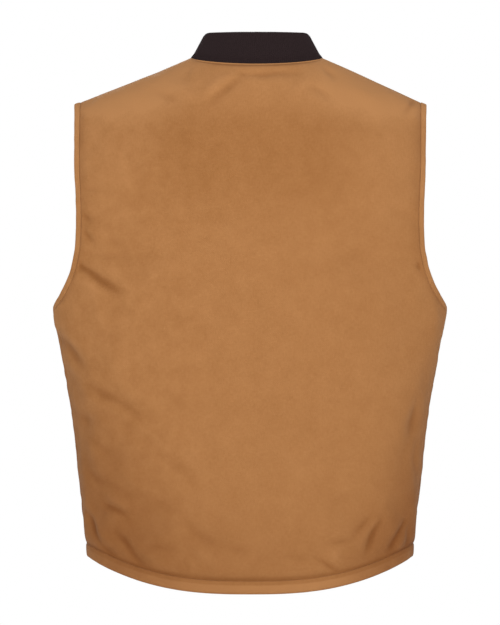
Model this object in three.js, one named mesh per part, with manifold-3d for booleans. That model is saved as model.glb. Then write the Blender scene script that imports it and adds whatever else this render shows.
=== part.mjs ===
// An insulated work vest of cotton duck with a rib knit collar, in the form it takes on a wearer.
// Millimetres. The origin is the middle of the neck, level with the two points where the shoulder
// seams meet the collar. +Z is up, the front faces -Y, and +X is the wearer's left.
import * as THREE from "three";
import { mergeVertices } from "three/addons/utils/BufferGeometryUtils.js";
import Module from "manifold-3d";

// Body sizes
const chestHalfWidth = 261; // centre to side seam at the underarm
const backDepth = 112; // shoulder seam plane to the middle of the back
const frontDepth = 107; // shoulder seam plane to the middle of the chest
const squareness = 2.25; // 2 makes an oval section, more makes it boxier
const bodyLength = 668; // neck points down to the hem at the side seams
const underarmDrop = 336; // neck points down to the underarm
const tailDrop = 48.5; // the back hem's middle below the side seams
const tailPower = 2.7; // how squarely the tail's curve turns down from the side seams
const shoulderHalfWidth = 236.5; // centre to shoulder tip
const shoulderDrop = 63; // neck points down to the shoulder tips
const shoulderBow = 0; // 0 makes the shoulder seam straight, more makes it rounder
const backRoll = 150; // below the shoulder seam the back takes this far to reach its full depth
const frontRoll = 330; // and the front this far
const neckHalfWidth = 86;
const backNeckDrop = 8;
const frontNeckDrop = 85;
const neckRoundness = 0.65; // 0.5 drops the neckline steeply from the neck points, more drops it gently
const neckShift = 9; // the collar hangs this far towards the wearer's right
const neckShiftReach = 150; // and the body takes this far down to come back to the middle

// Walls, bands and fits
const wall = 7; // duck, wadding and inner cloth
const seamWall = 4.5; // where a seam presses the wadding flat
const seamGap = 0.4;
const hemHeight = 13; // turned hem, below its row of stitching
const hemWall = 6;
const armholeBand = 8; // turned armhole edge, outside its row of stitching
const armholeWall = 5.5;

// Collar
const collarWall = 5; // rib knit, doubled over
const collarTopRound = 1.6; // how much the folded top edge narrows on each side
const collarFrontGap = 2; // between its two ends at the front

// Zip
const zipWidth = 11;
const zipWall = 1.6;
const teethWidth = 5;
const teethWall = 3.4;
const sliderWidth = 8.5;
const sliderLength = 12;
const sliderWall = 6;
const sliderBelowTop = 6;
const pullWidth = 5.5;
const pullLength = 30;
const pullWall = 1.6;

// Mesh steps
const rowsBelowUnderarm = 12;
const rowsAboveUnderarm = 14;
const neckColumns = 7;
const shoulderColumns = 8;

// The outline from the chest to below the hem. down is the share of the way from the underarm to
// the hem, and the others are shares of chestHalfWidth, backDepth and frontDepth.
const sections = [
  { down: -0.3, width: 1.0, back: 1.0, front: 0.98 },
  { down: 0.0, width: 1.003, back: 0.99, front: 1.0 },
  { down: 0.15, width: 0.969, back: 0.98, front: 1.01 },
  { down: 0.45, width: 0.904, back: 0.94, front: 1.02 },
  { down: 0.66, width: 0.876, back: 0.92, front: 1.02 },
  { down: 0.88, width: 0.841, back: 0.91, front: 1.0 },
  { down: 1.0, width: 0.827, back: 0.9, front: 0.99 },
  { down: 1.15, width: 0.804, back: 0.89, front: 0.98 },
];

// The row of stitching round the armhole from the shoulder tip to the underarm. down is the share of
// that height. back and front are 0 under the tip and 1 at chestHalfWidth, and negative further in.
const armholeLine = [
  { down: 0.0, back: 0.0, front: 0.0 },
  { down: 0.12, back: -0.01, front: -0.3 },
  { down: 0.3, back: -0.02, front: -0.7 },
  { down: 0.5, back: -0.09, front: -0.92 },
  { down: 0.67, back: -0.06, front: -0.8 },
  { down: 0.735, back: 0.02, front: -0.62 },
  { down: 0.793, back: 0.13, front: -0.38 },
  { down: 0.854, back: 0.33, front: -0.02 },
  { down: 0.914, back: 0.615, front: 0.4 },
  { down: 0.975, back: 0.97, front: 0.9 },
  { down: 1.0, back: 1.0, front: 1.0 },
];

// The collar's stations: height and lean towards the neck, by the place round the neck.
const collarStations = [
  { place: 0, height: 46.3, lean: 14 }, // middle of the back
  { place: 0.15, height: 45.9, lean: 16 },
  { place: 0.5, height: 42.8, lean: 23 },
  { place: 1, height: 38, lean: 29 }, // neck points
  { place: 2, height: 44, lean: 8 }, // middle of the front
];

// Folds of the back, from the photograph. across is a share of chestHalfWidth towards the wearer's
// left, drop a share of bodyLength, width a share of chestHalfWidth, and rise a share of wall.
const backFolds = [
  { across: 0.88, drop: 0.41, toAcross: 0.62, toDrop: 0.49, width: 0.035, rise: -0.7 },
  { across: 0.9, drop: 0.47, toAcross: 0.7, toDrop: 0.52, width: 0.06, rise: 0.35 },
  { across: 0.87, drop: 0.33, toAcross: 0.72, toDrop: 0.37, width: 0.035, rise: -0.35 },
  { across: 0.96, drop: 0.55, toAcross: 0.8, toDrop: 0.63, width: 0.05, rise: -0.6 },
  { across: 0.92, drop: 0.65, toAcross: 0.35, toDrop: 0.78, width: 0.12, rise: -0.6 },
  { across: 0.83, drop: 0.82, toAcross: 0.62, toDrop: 0.92, width: 0.05, rise: -0.5 },
  { across: 0.8, drop: 0.9, toAcross: 0.69, toDrop: 1.0, width: 0.05, rise: -0.6 },
  { across: 0.66, drop: 0.93, toAcross: 0.5, toDrop: 1.03, width: 0.05, rise: -0.6 },
  { across: 0.32, drop: 0.92, toAcross: 0.02, toDrop: 0.97, width: 0.08, rise: -0.4 },
  { across: -0.32, drop: 0.98, toAcross: -0.5, toDrop: 1.03, width: 0.05, rise: -0.4 },
  { across: -0.78, drop: 0.9, toAcross: -0.62, toDrop: 1.03, width: 0.05, rise: -0.6 },
  { across: -0.83, drop: 0.82, toAcross: -0.74, toDrop: 0.96, width: 0.05, rise: -0.5 },
  { across: -0.94, drop: 0.56, toAcross: -0.85, toDrop: 0.75, width: 0.08, rise: -0.3 },
  { across: 0.2, drop: 0.045, toAcross: -0.26, toDrop: 0.04, width: 0.05, rise: -0.35 },
  { across: 0.38, drop: 0.03, toAcross: 0.22, toDrop: 0.07, width: 0.06, rise: 0.35 },
  { across: -0.33, drop: 0.03, toAcross: -0.42, toDrop: 0.08, width: 0.06, rise: 0.35 },
  { across: -0.81, drop: 0.09, toAcross: -0.75, toDrop: 0.15, width: 0.04, rise: -0.35 },
];

// Folds of each front, which no view shows: drag lines from the armhole and hollows over the hem.
// across runs outwards on both sides.
const frontFolds = [
  { across: 0.78, drop: 0.4, toAcross: 0.5, toDrop: 0.5, width: 0.05, rise: -0.45 },
  { across: 0.7, drop: 0.3, toAcross: 0.5, toDrop: 0.36, width: 0.05, rise: -0.3 },
  { across: 0.85, drop: 0.66, toAcross: 0.45, toDrop: 0.76, width: 0.1, rise: -0.4 },
  { across: 0.78, drop: 0.86, toAcross: 0.6, toDrop: 0.97, width: 0.06, rise: -0.45 },
  { across: 0.4, drop: 0.84, toAcross: 0.3, toDrop: 0.96, width: 0.07, rise: -0.3 },
];

const wasm = await Module();
wasm.setup();

// Where the panels end inside their turned edges.
const shoulderLength = shoulderHalfWidth - neckHalfWidth;
const tipSlope = (shoulderDrop / shoulderLength) * (1 + shoulderBow);
const panelTip = shoulderHalfWidth - (armholeBand + seamGap) * Math.cos(Math.atan(tipSlope));
const panelTipDrop = -shoulderLine(panelTip);
const panelUnderarm = underarmDrop + armholeBand + seamGap;
const panelLength = bodyLength - hemHeight - seamGap;

const vector = (x, y, z) => new THREE.Vector3(x, y, z);
const steps = (count) => Array.from({ length: count + 1 }, (_, i) => i / count);
const smooth = (t) => THREE.MathUtils.smoothstep(t, 0, 1);

// The value of one column of a table at a place between its rows, on a smooth curve through them.
function fromTable(table, key, place, column) {
  const last = table.length - 1;
  let i = table.findIndex((row) => row[key] > place) - 1;
  if (i < 0) i = place <= table[0][key] ? 0 : last - 1;
  const [before, low, high, after] = [i - 1, i, i + 1, i + 2].map(
    (n) => table[THREE.MathUtils.clamp(n, 0, last)],
  );
  const span = high[key] - low[key];
  const t = THREE.MathUtils.clamp((place - low[key]) / span, 0, 1);
  const slope = (a, b) => (a === b ? 0 : ((b[column] - a[column]) / (b[key] - a[key])) * span);
  const start = before === low ? slope(low, high) : slope(before, high);
  const end = after === high ? slope(low, high) : slope(low, after);
  return (
    low[column] * (2 * t ** 3 - 3 * t ** 2 + 1) +
    high[column] * (3 * t ** 2 - 2 * t ** 3) +
    start * (t ** 3 - 2 * t ** 2 + t) +
    end * (t ** 3 - t ** 2)
  );
}

// The height of the shoulder line over x. Inside the neck it goes on as a low crown.
function shoulderLine(x) {
  const out = (Math.abs(x) - neckHalfWidth) / shoulderLength;
  if (out > 0) return -shoulderDrop * out * (1 - shoulderBow + shoulderBow * out);
  const neckSlope = (shoulderDrop / shoulderLength) * (1 - shoulderBow);
  return (neckSlope * (neckHalfWidth - x ** 2 / neckHalfWidth)) / 2;
}

// Half the body's width at a height.
function halfWidthAt(z) {
  const down = (-z - underarmDrop) / (bodyLength - underarmDrop);
  return chestHalfWidth * fromTable(sections, "down", down, "width");
}

// A point of the vest's middle surface. turn is 0 in the middle of the back or front and a quarter
// turn at the side seam, and side is 1 for the back and -1 for the front.
function formPoint(turn, z, side) {
  const down = (-z - underarmDrop) / (bodyLength - underarmDrop);
  const x = halfWidthAt(z) * Math.sin(turn);
  const fullDepth =
    side > 0
      ? backDepth * fromTable(sections, "down", down, "back")
      : frontDepth * fromTable(sections, "down", down, "front");
  const across = Math.max(0, 1 - Math.abs(Math.sin(turn)) ** squareness) ** (1 / squareness);
  const below = (shoulderLine(x) - z) / (side > 0 ? backRoll : frontRoll);
  const rolled = Math.sqrt(1 - (1 - THREE.MathUtils.clamp(below, 0, 1)) ** 2);
  const overShoulder = THREE.MathUtils.clamp((Math.abs(x) - neckHalfWidth) / shoulderLength, 0, 1);
  const shifted = neckShift * (1 - overShoulder ** 2) * smooth(1 + z / neckShiftReach);
  return vector(x - shifted, side * (fullDepth * across * rolled + seamGap / 2), z);
}

// How far the folds of a table lift the cloth at a place.
function foldRise(folds, across, drop) {
  const place = new THREE.Vector2(across * chestHalfWidth, drop * bodyLength);
  return folds.reduce((sum, fold) => {
    const from = new THREE.Vector2(fold.across * chestHalfWidth, fold.drop * bodyLength);
    const run = new THREE.Vector2(fold.toAcross * chestHalfWidth, fold.toDrop * bodyLength).sub(from);
    const along = THREE.MathUtils.clamp(place.clone().sub(from).dot(run) / run.lengthSq(), 0, 1);
    const away = place.distanceTo(from.addScaledVector(run, along)) / (fold.width * chestHalfWidth);
    return sum + fold.rise * wall * Math.exp(-(away ** 2)) * (0.4 + 0.6 * Math.sin(Math.PI * along));
  }, 0);
}

// The places of a panel's rows, as shares of the side's height from the hem to the shoulder tip.
// They lie close together at the underarm and the shoulder, where the armhole turns.
function rowPlaces() {
  const underarm = (panelLength - panelUnderarm) / (panelLength - panelTipDrop);
  const lower = steps(rowsBelowUnderarm).map((t) => t * underarm);
  const upper = steps(rowsAboveUnderarm).map(
    (t) => underarm + ((1 - underarm) * (1 - Math.cos(Math.PI * t))) / 2,
  );
  return [...lower, ...upper.slice(1)];
}

// The places of a panel's columns along its top edge, from the middle out to the shoulder tip, as
// shares of the turn there.
function topPlaces() {
  const tipTurn = Math.asin(panelTip / chestHalfWidth);
  const neckTurn = Math.asin(neckHalfWidth / chestHalfWidth);
  const neck = steps(neckColumns).map((t) => {
    const quarter = ((1 - (1 - t) ** 1.6) * Math.PI) / 2;
    return Math.asin((neckHalfWidth * Math.sin(quarter)) / chestHalfWidth) / tipTurn;
  });
  const shoulder = steps(shoulderColumns).map((t) => (neckTurn + t * (tipTurn - neckTurn)) / tipTurn);
  return [...neck, ...shoulder.slice(1)];
}

// The height of a panel's top edge over x: the neckline, then the shoulder line.
function topEdge(x, neckDrop) {
  const inside = 1 - (x / neckHalfWidth) ** 2;
  return inside > 0 ? -neckDrop * inside ** neckRoundness : shoulderLine(x);
}

// The turn at which a panel ends at the side at a height: the side seam, then the armhole.
function sideTurn(z, column) {
  const down = (-z - panelTipDrop) / (panelUnderarm - panelTipDrop);
  if (down >= 1) return Math.PI / 2;
  const reach = fromTable(armholeLine, "down", down, column);
  return Math.asin(Math.min(1, THREE.MathUtils.lerp(panelTip, chestHalfWidth, reach) / chestHalfWidth));
}

// The outward normal of the form at a place on one side and hand.
function formNormal(turn, z, side, hand) {
  const here = formPoint(turn, z, side);
  const across = here.clone().sub(formPoint(turn - hand * 1e-3, z, side));
  const up = here.sub(formPoint(turn, z - 1e-3, side));
  return across.cross(up).multiplyScalar(-side * hand).normalize();
}

// One half of the back or front inside its turned edges: rows of points from the hem up, each from
// the middle outwards, with their normals. hand is 1 on the wearer's left. The columns are even at
// the hem and come together at the neck.
function halfSheet(side, hand) {
  const places = topPlaces();
  const columns = places.length - 1;
  const middleX = side > 0 ? 0 : zipWidth / 2 + seamGap;
  const tipTurn = Math.asin(panelTip / chestHalfWidth);
  const points = [];
  const normals = [];
  for (const up of rowPlaces()) {
    const sideZ = THREE.MathUtils.lerp(-panelLength, -panelTipDrop, up);
    const edgeTurn = sideTurn(sideZ, side > 0 ? "back" : "front");
    const row = places.map((topPlace, j) => {
      const even = j / columns;
      const tail = side > 0 ? tailDrop * (1 - Math.sin((even * Math.PI) / 2) ** tailPower) : 0;
      const topX = chestHalfWidth * Math.sin(topPlace * tipTurn);
      const z = THREE.MathUtils.lerp(
        -panelLength - tail,
        topEdge(topX, side > 0 ? backNeckDrop : frontNeckDrop),
        up,
      );
      const place = THREE.MathUtils.lerp(even, topPlace, up ** 3);
      const middle = Math.asin(middleX / halfWidthAt(z)) * Math.max(0, 1 - j / neckColumns);
      return [hand * (place * edgeTurn + middle), z];
    });
    points.push(row.map(([turn, z]) => formPoint(turn, z, side)));
    normals.push(row.map(([turn, z]) => formNormal(turn, z, side, hand)));
  }
  return { points, normals, side, hand };
}

// A vector with one of its parts taken out, at length 1.
function flattened(v, axis) {
  return v.clone().setComponent("xyz".indexOf(axis), 0).normalize();
}

// Adds to a half sheet the directions that run out of the cloth over its armhole, hem and neck
// edges. Where two pieces meet on a plane, their directions and normals lie in that plane.
function withEdges(sheet) {
  const { points, normals, hand } = sheet;
  const rows = points.length - 1;
  const columns = points[0].length - 1;
  normals.forEach((row) => {
    row[0] = flattened(row[0], "x");
  });
  const onSeam = (from, to) => vector(from.z - to.z, 0, to.x - from.x).multiplyScalar(hand).normalize();
  for (let j = neckColumns; j <= columns; j++) {
    const [from, to] = [Math.max(neckColumns, j - 1), Math.min(columns, j + 1)];
    normals[rows][j] = onSeam(points[rows][from], points[rows][to]);
  }
  for (let i = 0; i <= rowsBelowUnderarm; i++) {
    const [from, to] = [Math.min(rowsBelowUnderarm, i + 1), Math.max(0, i - 1)];
    normals[i][columns] = onSeam(points[from][columns], points[to][columns]);
  }
  const outwards = (i, j, along, inner) => {
    const out = normals[i][j].clone().cross(along).normalize();
    return out.dot(points[i][j].clone().sub(inner)) < 0 ? out.negate() : out;
  };
  const armhole = steps(rows - rowsBelowUnderarm).map((_, n) => {
    const i = rowsBelowUnderarm + n;
    if (i === rowsBelowUnderarm) return outwards(i, columns, vector(0, 1, 0), points[i - 1][columns]);
    if (i === rows) return outwards(i, columns, vector(0, 1, 0), points[i][columns - 1]);
    const along = points[i + 1][columns].clone().sub(points[i - 1][columns]);
    return outwards(i, columns, along, points[i][columns - 1]);
  });
  const hem = points[0].map((p, j) => {
    if (j === columns) return flattened(p.clone().sub(points[1][j]), "y");
    if (j === 0) return flattened(p.clone().sub(points[1][j]), "x");
    return outwards(0, j, points[0][j + 1].clone().sub(points[0][j - 1]), points[1][j]);
  });
  const neck = points[rows].slice(0, neckColumns + 1).map((p, j) => {
    if (j === 0) return outwards(rows, j, vector(1, 0, 0), points[rows - 1][j]);
    if (j === neckColumns) return outwards(rows, j, vector(0, 1, 0), points[rows][j + 1]);
    const along = points[rows][j + 1].clone().sub(points[rows][j - 1]);
    return outwards(rows, j, along, points[rows - 1][j]);
  });
  return { ...sheet, armhole, hem, neck };
}

// The points of a half sheet with its folds.
function folded({ points, normals, side }) {
  const rows = points.length - 1;
  const columns = points[0].length - 1;
  return points.map((row, i) =>
    row.map((p, j) => {
      const edge = i === 0 || i === rows || j === columns || (side < 0 && j === 0);
      const across = (side > 0 ? p.x : Math.abs(p.x)) / chestHalfWidth;
      const rise = foldRise(side > 0 ? backFolds : frontFolds, across, -p.z / bodyLength);
      return p.clone().addScaledVector(normals[i][j], edge ? 0 : rise);
    }),
  );
}

// A geometry from points and triangles, turned so that its faces point out.
function closedMesh(points, triangles) {
  const volume = triangles.reduce(
    (sum, [a, b, c]) => sum + points[a].dot(points[b].clone().cross(points[c])),
    0,
  );
  const facing = volume < 0 ? triangles.map(([a, b, c]) => [a, c, b]) : triangles;
  const geometry = new THREE.BufferGeometry().setFromPoints(points).setIndex(facing.flat());
  geometry.computeVertexNormals();
  return geometry;
}

const twoTriangles = (a, b, c, d) => [
  [a, b, c],
  [a, c, d],
];

// A padded wall on both sides of a grid of points, thinner along its edges.
function paddedWall(grid, normals) {
  const rows = grid.length;
  const columns = grid[0].length;
  const layer = (face) =>
    grid.flatMap((row, i) =>
      row.map((p, j) => {
        const edge = i === 0 || j === 0 || i === rows - 1 || j === columns - 1;
        return p.clone().addScaledVector(normals[i][j], (face * (edge ? seamWall : wall)) / 2);
      }),
    );
  const points = [...layer(1), ...layer(-1)];
  const at = (i, j, face) => face * rows * columns + i * columns + j;
  const triangles = [];
  for (let i = 0; i < rows - 1; i++)
    for (let j = 0; j < columns - 1; j++)
      triangles.push(
        ...twoTriangles(at(i, j, 0), at(i, j + 1, 0), at(i + 1, j + 1, 0), at(i + 1, j, 0)),
        ...twoTriangles(at(i, j, 1), at(i + 1, j, 1), at(i + 1, j + 1, 1), at(i, j + 1, 1)),
      );
  const rim = [
    ...steps(columns - 1).map((_, j) => [0, j]),
    ...steps(rows - 1).map((_, i) => [i, columns - 1]).slice(1),
    ...steps(columns - 1).map((_, j) => [rows - 1, columns - 1 - j]).slice(1),
    ...steps(rows - 1).map((_, i) => [rows - 1 - i, 0]).slice(1, -1),
  ];
  rim.forEach(([i, j], n) => {
    const [k, l] = rim[(n + 1) % rim.length];
    triangles.push(...twoTriangles(at(i, j, 0), at(i, j, 1), at(k, l, 1), at(k, l, 0)));
  });
  return closedMesh(points, triangles);
}

// A solid through a row of sections, each a ring of points. A loop closes on its first section.
function throughSections(rings, loop = false) {
  const size = rings[0].length;
  const triangles = [];
  const joins = loop ? rings.length : rings.length - 1;
  for (let i = 0; i < joins; i++)
    for (let j = 0; j < size; j++) {
      const [here, next] = [i * size, ((i + 1) % rings.length) * size];
      const k = (j + 1) % size;
      triangles.push(...twoTriangles(here + j, here + k, next + k, next + j));
    }
  if (!loop)
    for (let j = 1; j < size - 1; j++) {
      const end = (rings.length - 1) * size;
      triangles.push([0, j + 1, j], [end, end + j, end + j + 1]);
    }
  return closedMesh(rings.flat(), triangles);
}

// A turned edge's section: its stitched side along the panel, full thickness, then a rounded fold.
function turnedSection(p, out, normal, height, thickness) {
  const outline = [
    { out: 0, rise: 0.38 },
    { out: 0.7, rise: 0.5 },
    { out: 1, rise: 0.25 },
    { out: 1, rise: -0.25 },
    { out: 0.7, rise: -0.5 },
    { out: 0, rise: -0.38 },
  ];
  return outline.map((corner) =>
    p
      .clone()
      .addScaledVector(out, seamGap + corner.out * height)
      .addScaledVector(normal, corner.rise * thickness),
  );
}

// The back's two halves as one row of values, from the wearer's right to the wearer's left.
const acrossBack = (right, left) => [...right.slice(1).reverse(), ...left];

// The back panel, in one piece from side seam to side seam.
function backPanel(right, left) {
  const [foldedRight, foldedLeft] = [folded(right), folded(left)];
  return paddedWall(
    foldedLeft.map((row, i) => acrossBack(foldedRight[i], row)),
    left.normals.map((row, i) => acrossBack(right.normals[i], row)),
  );
}

// The turned hem along the bottom of a row of points.
function hemBand(line, out, normals) {
  return throughSections(line.map((p, j) => turnedSection(p, out[j], normals[j], hemHeight, hemWall)));
}

// The turned edge all round an armhole, over the shoulder seam and under the side seam.
function armholeRing(back, front) {
  const side = (sheet) =>
    sheet.armhole.map((out, n) => {
      const row = rowsBelowUnderarm + n;
      return { p: sheet.points[row].at(-1), out, normal: sheet.normals[row].at(-1) };
    });
  const shared = (a, b) => ({
    p: a.p.clone().setY(0),
    out: flattened(a.out.clone().add(b.out), "y"),
    normal: flattened(a.normal.clone().add(b.normal), "y"),
  });
  const [backSide, frontSide] = [side(back), side(front)];
  const loop = [
    shared(backSide[0], frontSide[0]),
    ...backSide.slice(1, -1),
    shared(backSide.at(-1), frontSide.at(-1)),
    ...frontSide.slice(1, -1).reverse(),
  ];
  return throughSections(
    loop.map((s) => turnedSection(s.p, s.out, s.normal, armholeBand, armholeWall)),
    true,
  );
}

// The rib knit collar, standing on the neck edge from one front end round the back to the other.
// Its foot has the width and direction of the wall that it stands on.
function collar(sheets) {
  const stations = sheets.flatMap(({ sheet, reverse, first }) => {
    const made = sheet.neck.map((out, j) => ({
      p: sheet.points.at(-1)[j].clone(),
      out,
      normal: sheet.normals.at(-1)[j],
      place: sheet.side > 0 ? j / neckColumns : 2 - j / neckColumns,
      endHand: j === 0 && sheet.side < 0 ? sheet.hand : 0,
    }));
    if (reverse) made.reverse();
    return made.slice(first);
  });
  const middle = vector(-neckShift, 0, 0);
  const rings = stations.map(({ p, out, normal, place, endHand }) => {
    const height = fromTable(collarStations, "place", place, "height");
    const lean = THREE.MathUtils.degToRad(fromTable(collarStations, "place", place, "lean"));
    const inward = middle.clone().sub(p).setZ(0).normalize();
    if (endHand) {
      p.x -= endHand * (zipWidth / 2 + seamGap - collarFrontGap / 2);
      inward.set(0, 1, 0);
    }
    const rise = vector(0, 0, Math.cos(lean)).addScaledVector(inward, Math.sin(lean));
    const outward = vector(0, 0, Math.sin(lean)).addScaledVector(inward, -Math.cos(lean));
    const foot = (face) =>
      p.clone().addScaledVector(out, seamGap).addScaledVector(normal, (face * seamWall) / 2);
    const up = (share, face, narrow = 0) =>
      p
        .clone()
        .addScaledVector(rise, share * height)
        .addScaledVector(outward, face * (collarWall / 2 - narrow));
    return [
      foot(1),
      up(0.2, 1),
      up(0.6, 1),
      up(0.94, 1),
      up(1, 1, collarTopRound),
      up(1, -1, collarTopRound),
      up(0.94, -1),
      up(0.6, -1),
      up(0.2, -1),
      foot(-1),
    ];
  });
  return throughSections(rings);
}

// A solid for joining, from a closed geometry.
function solidOf(geometry) {
  const bare = geometry.clone();
  Object.keys(bare.attributes)
    .filter((name) => name !== "position")
    .forEach((name) => bare.deleteAttribute(name));
  const merged = mergeVertices(bare, 1e-4);
  return new wasm.Manifold(
    new wasm.Mesh({
      numProp: 3,
      vertProperties: merged.attributes.position.array,
      triVerts: new Uint32Array(merged.index.array),
    }),
  );
}

// The geometry of a joined solid.
function geometryOf(solid) {
  const mesh = solid.getMesh();
  const geometry = new THREE.BufferGeometry();
  geometry.setAttribute("position", new THREE.BufferAttribute(mesh.vertProperties, 3));
  geometry.setIndex(new THREE.BufferAttribute(mesh.triVerts, 1));
  geometry.computeVertexNormals();
  return geometry;
}

// The closed zip in one piece: tape, teeth, and the slider with its pull at the top.
function zip(left, right) {
  const edge = left.points.map((row, i) => row[0].clone().add(right.points[i][0]).divideScalar(2));
  const line = [edge[0].clone().addScaledVector(left.hem[0], hemHeight), ...edge];
  line.at(-1).z -= seamGap;
  const strip = (width, thickness, from, to) =>
    solidOf(
      throughSections(
        line.slice(from, to).map((p) =>
          [
            [-1, -1],
            [1, -1],
            [1, 1],
            [-1, 1],
          ].map(([x, y]) => vector(p.x + (x * width) / 2, p.y + (y * thickness) / 2, p.z)),
        ),
      ),
    );
  const top = line.at(-1);
  const below = line.at(-3);
  const tilt = Math.atan2(below.y - top.y, top.z - below.z);
  const hung = (width, length, thickness, drop, out) =>
    solidOf(
      new THREE.BoxGeometry(width, thickness, length)
        .translate(0, -out, -drop - length / 2)
        .rotateX(tilt)
        .translate(top.x, top.y, top.z),
    );
  const slider = hung(sliderWidth, sliderLength, sliderWall, sliderBelowTop, 0);
  const pullOut = sliderWall / 2 + pullWall / 2 - seamGap;
  const pull = hung(pullWidth, pullLength, pullWall, sliderBelowTop + sliderLength / 2, pullOut);
  const whole = strip(zipWidth, zipWall, 0).add(strip(teethWidth, teethWall, 1)).add(slider).add(pull);
  return geometryOf(whole);
}

const duck = { color: 0xb27a47, roughness: 0.9, metalness: 0 };
const rib = { color: 0x33262a, roughness: 0.95, metalness: 0 };
const brass = { color: 0x8c6a3a, roughness: 0.4, metalness: 0.8 };

function piece(name, geometry, look) {
  const mesh = new THREE.Mesh(geometry, new THREE.MeshStandardMaterial(look));
  mesh.name = name;
  return mesh;
}

const backLeft = withEdges(halfSheet(1, 1));
const backRight = withEdges(halfSheet(1, -1));
const frontLeft = withEdges(halfSheet(-1, 1));
const frontRight = withEdges(halfSheet(-1, -1));

const vest = new THREE.Group();
vest.add(
  piece("back_panel", backPanel(backRight, backLeft), duck),
  piece("front_panel_left", paddedWall(folded(frontLeft), frontLeft.normals), duck),
  piece("front_panel_right", paddedWall(folded(frontRight), frontRight.normals), duck),
  piece(
    "back_hem",
    hemBand(
      acrossBack(backRight.points[0], backLeft.points[0]),
      acrossBack(backRight.hem, backLeft.hem),
      acrossBack(backRight.normals[0], backLeft.normals[0]),
    ),
    duck,
  ),
  piece("front_hem_left", hemBand(frontLeft.points[0], frontLeft.hem, frontLeft.normals[0]), duck),
  piece("front_hem_right", hemBand(frontRight.points[0], frontRight.hem, frontRight.normals[0]), duck),
  piece("armhole_edge_left", armholeRing(backLeft, frontLeft), duck),
  piece("armhole_edge_right", armholeRing(backRight, frontRight), duck),
  piece(
    "rib_collar",
    collar([
      { sheet: frontRight, reverse: false, first: 0 },
      { sheet: backRight, reverse: true, first: 1 },
      { sheet: backLeft, reverse: false, first: 1 },
      { sheet: frontLeft, reverse: true, first: 1 },
    ]),
    rib,
  ),
  piece("front_zip", zip(frontLeft, frontRight), brass),
);

export default vest;
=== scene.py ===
"""An insulated work vest of brown cotton duck with a rib knit collar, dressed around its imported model.

Shapes are worked out in millimetres in the model's own frame, and each mesh is scaled to metres as it
is made. The origin is the middle of the neck, level with the two neck points. +Z is up, the front
faces -Y, and +X is the wearer's left.
"""

import logging
import math
from dataclasses import dataclass, field
from enum import Enum
from typing import Any, Sequence

import bmesh
import bpy
import numpy as np
from mathutils import Matrix, Vector


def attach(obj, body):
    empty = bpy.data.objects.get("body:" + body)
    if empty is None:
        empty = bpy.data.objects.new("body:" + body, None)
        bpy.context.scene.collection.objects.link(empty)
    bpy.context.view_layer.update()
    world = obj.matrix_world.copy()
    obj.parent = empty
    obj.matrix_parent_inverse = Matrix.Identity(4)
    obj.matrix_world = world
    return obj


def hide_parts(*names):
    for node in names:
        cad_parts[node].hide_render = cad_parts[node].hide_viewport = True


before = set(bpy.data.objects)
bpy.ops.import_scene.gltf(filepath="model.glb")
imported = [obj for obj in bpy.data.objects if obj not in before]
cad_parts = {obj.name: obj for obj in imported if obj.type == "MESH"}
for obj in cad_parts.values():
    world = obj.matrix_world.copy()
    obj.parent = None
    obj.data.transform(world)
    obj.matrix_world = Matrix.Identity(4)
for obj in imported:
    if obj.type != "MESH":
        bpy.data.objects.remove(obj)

Array = np.ndarray

MM = 0.001  # a millimetre in metres
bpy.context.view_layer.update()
CLOTH_UV = "cloth"  # the UV map that runs along the yarns, in metres
PAINTED_SHADING = "wear"  # the attribute of painted light: 1 on a ridge painted pale as a highlight, -1 in a crease painted dark as shade
BODY = "root"
ACROSS = (1.0, 0.0, 0.0)
UP = (0.0, 0.0, 1.0)
RIPPLE_KNOTS = 997  # a ripple repeats after so many knots
BIAS = np.array([[0.82, 0.57], [-0.57, 0.82]])  # turns places on the cloth by 35 degrees

log = logging.getLogger("vest")


class Side(Enum):
    """The half of the body that a panel covers, as its direction along Y."""

    BACK = 1
    FRONT = -1


class Hand(Enum):
    """The wearer's left or right, as its direction along X."""

    LEFT = 1
    RIGHT = -1


@dataclass(frozen=True)
class Section:
    """One height of the outline, as shares of the full half width and depths."""

    down: float
    width: float
    back: float
    front: float


@dataclass(frozen=True)
class ArmholePoint:
    """One height of the armhole's row of stitching: 0 under the shoulder tip, 1 at the side seam."""

    down: float
    back: float
    front: float


@dataclass(frozen=True)
class CollarStation:
    """The collar's height and lean at a place round the neck, from the middle of the back."""

    place: float
    height: float
    lean: float


@dataclass(frozen=True)
class Fold:
    """A fold from one place to another, as shares of the chest's half width and the body's length.

    It is deepest a third of the way along and grows wider. Its width and rise are in millimetres.
    """

    across: float
    drop: float
    to_across: float
    to_drop: float
    width: float
    rise: float


SECTIONS = (
    Section(-0.3, 1.0, 1.0, 0.98),
    Section(0.0, 1.003, 0.99, 1.0),
    Section(0.15, 0.969, 0.98, 1.01),
    Section(0.45, 0.904, 0.94, 1.02),
    Section(0.66, 0.876, 0.92, 1.02),
    Section(0.88, 0.841, 0.91, 1.0),
    Section(1.0, 0.827, 0.9, 0.99),
    Section(1.15, 0.804, 0.89, 0.98),
)

ARMHOLE_LINE = (
    ArmholePoint(0.0, 0.0, 0.0),
    ArmholePoint(0.12, -0.01, -0.3),
    ArmholePoint(0.3, -0.02, -0.7),
    ArmholePoint(0.5, -0.09, -0.92),
    ArmholePoint(0.67, -0.06, -0.8),
    ArmholePoint(0.735, 0.02, -0.62),
    ArmholePoint(0.793, 0.13, -0.38),
    ArmholePoint(0.854, 0.33, -0.02),
    ArmholePoint(0.914, 0.615, 0.4),
    ArmholePoint(0.975, 0.97, 0.9),
    ArmholePoint(1.0, 1.0, 1.0),
)

COLLAR_STATIONS = (
    CollarStation(0.0, 46.3, 14.0),
    CollarStation(0.15, 45.9, 16.0),
    CollarStation(0.5, 42.8, 23.0),
    CollarStation(1.0, 38.0, 29.0),
    CollarStation(2.0, 44.0, 8.0),
)

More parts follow.
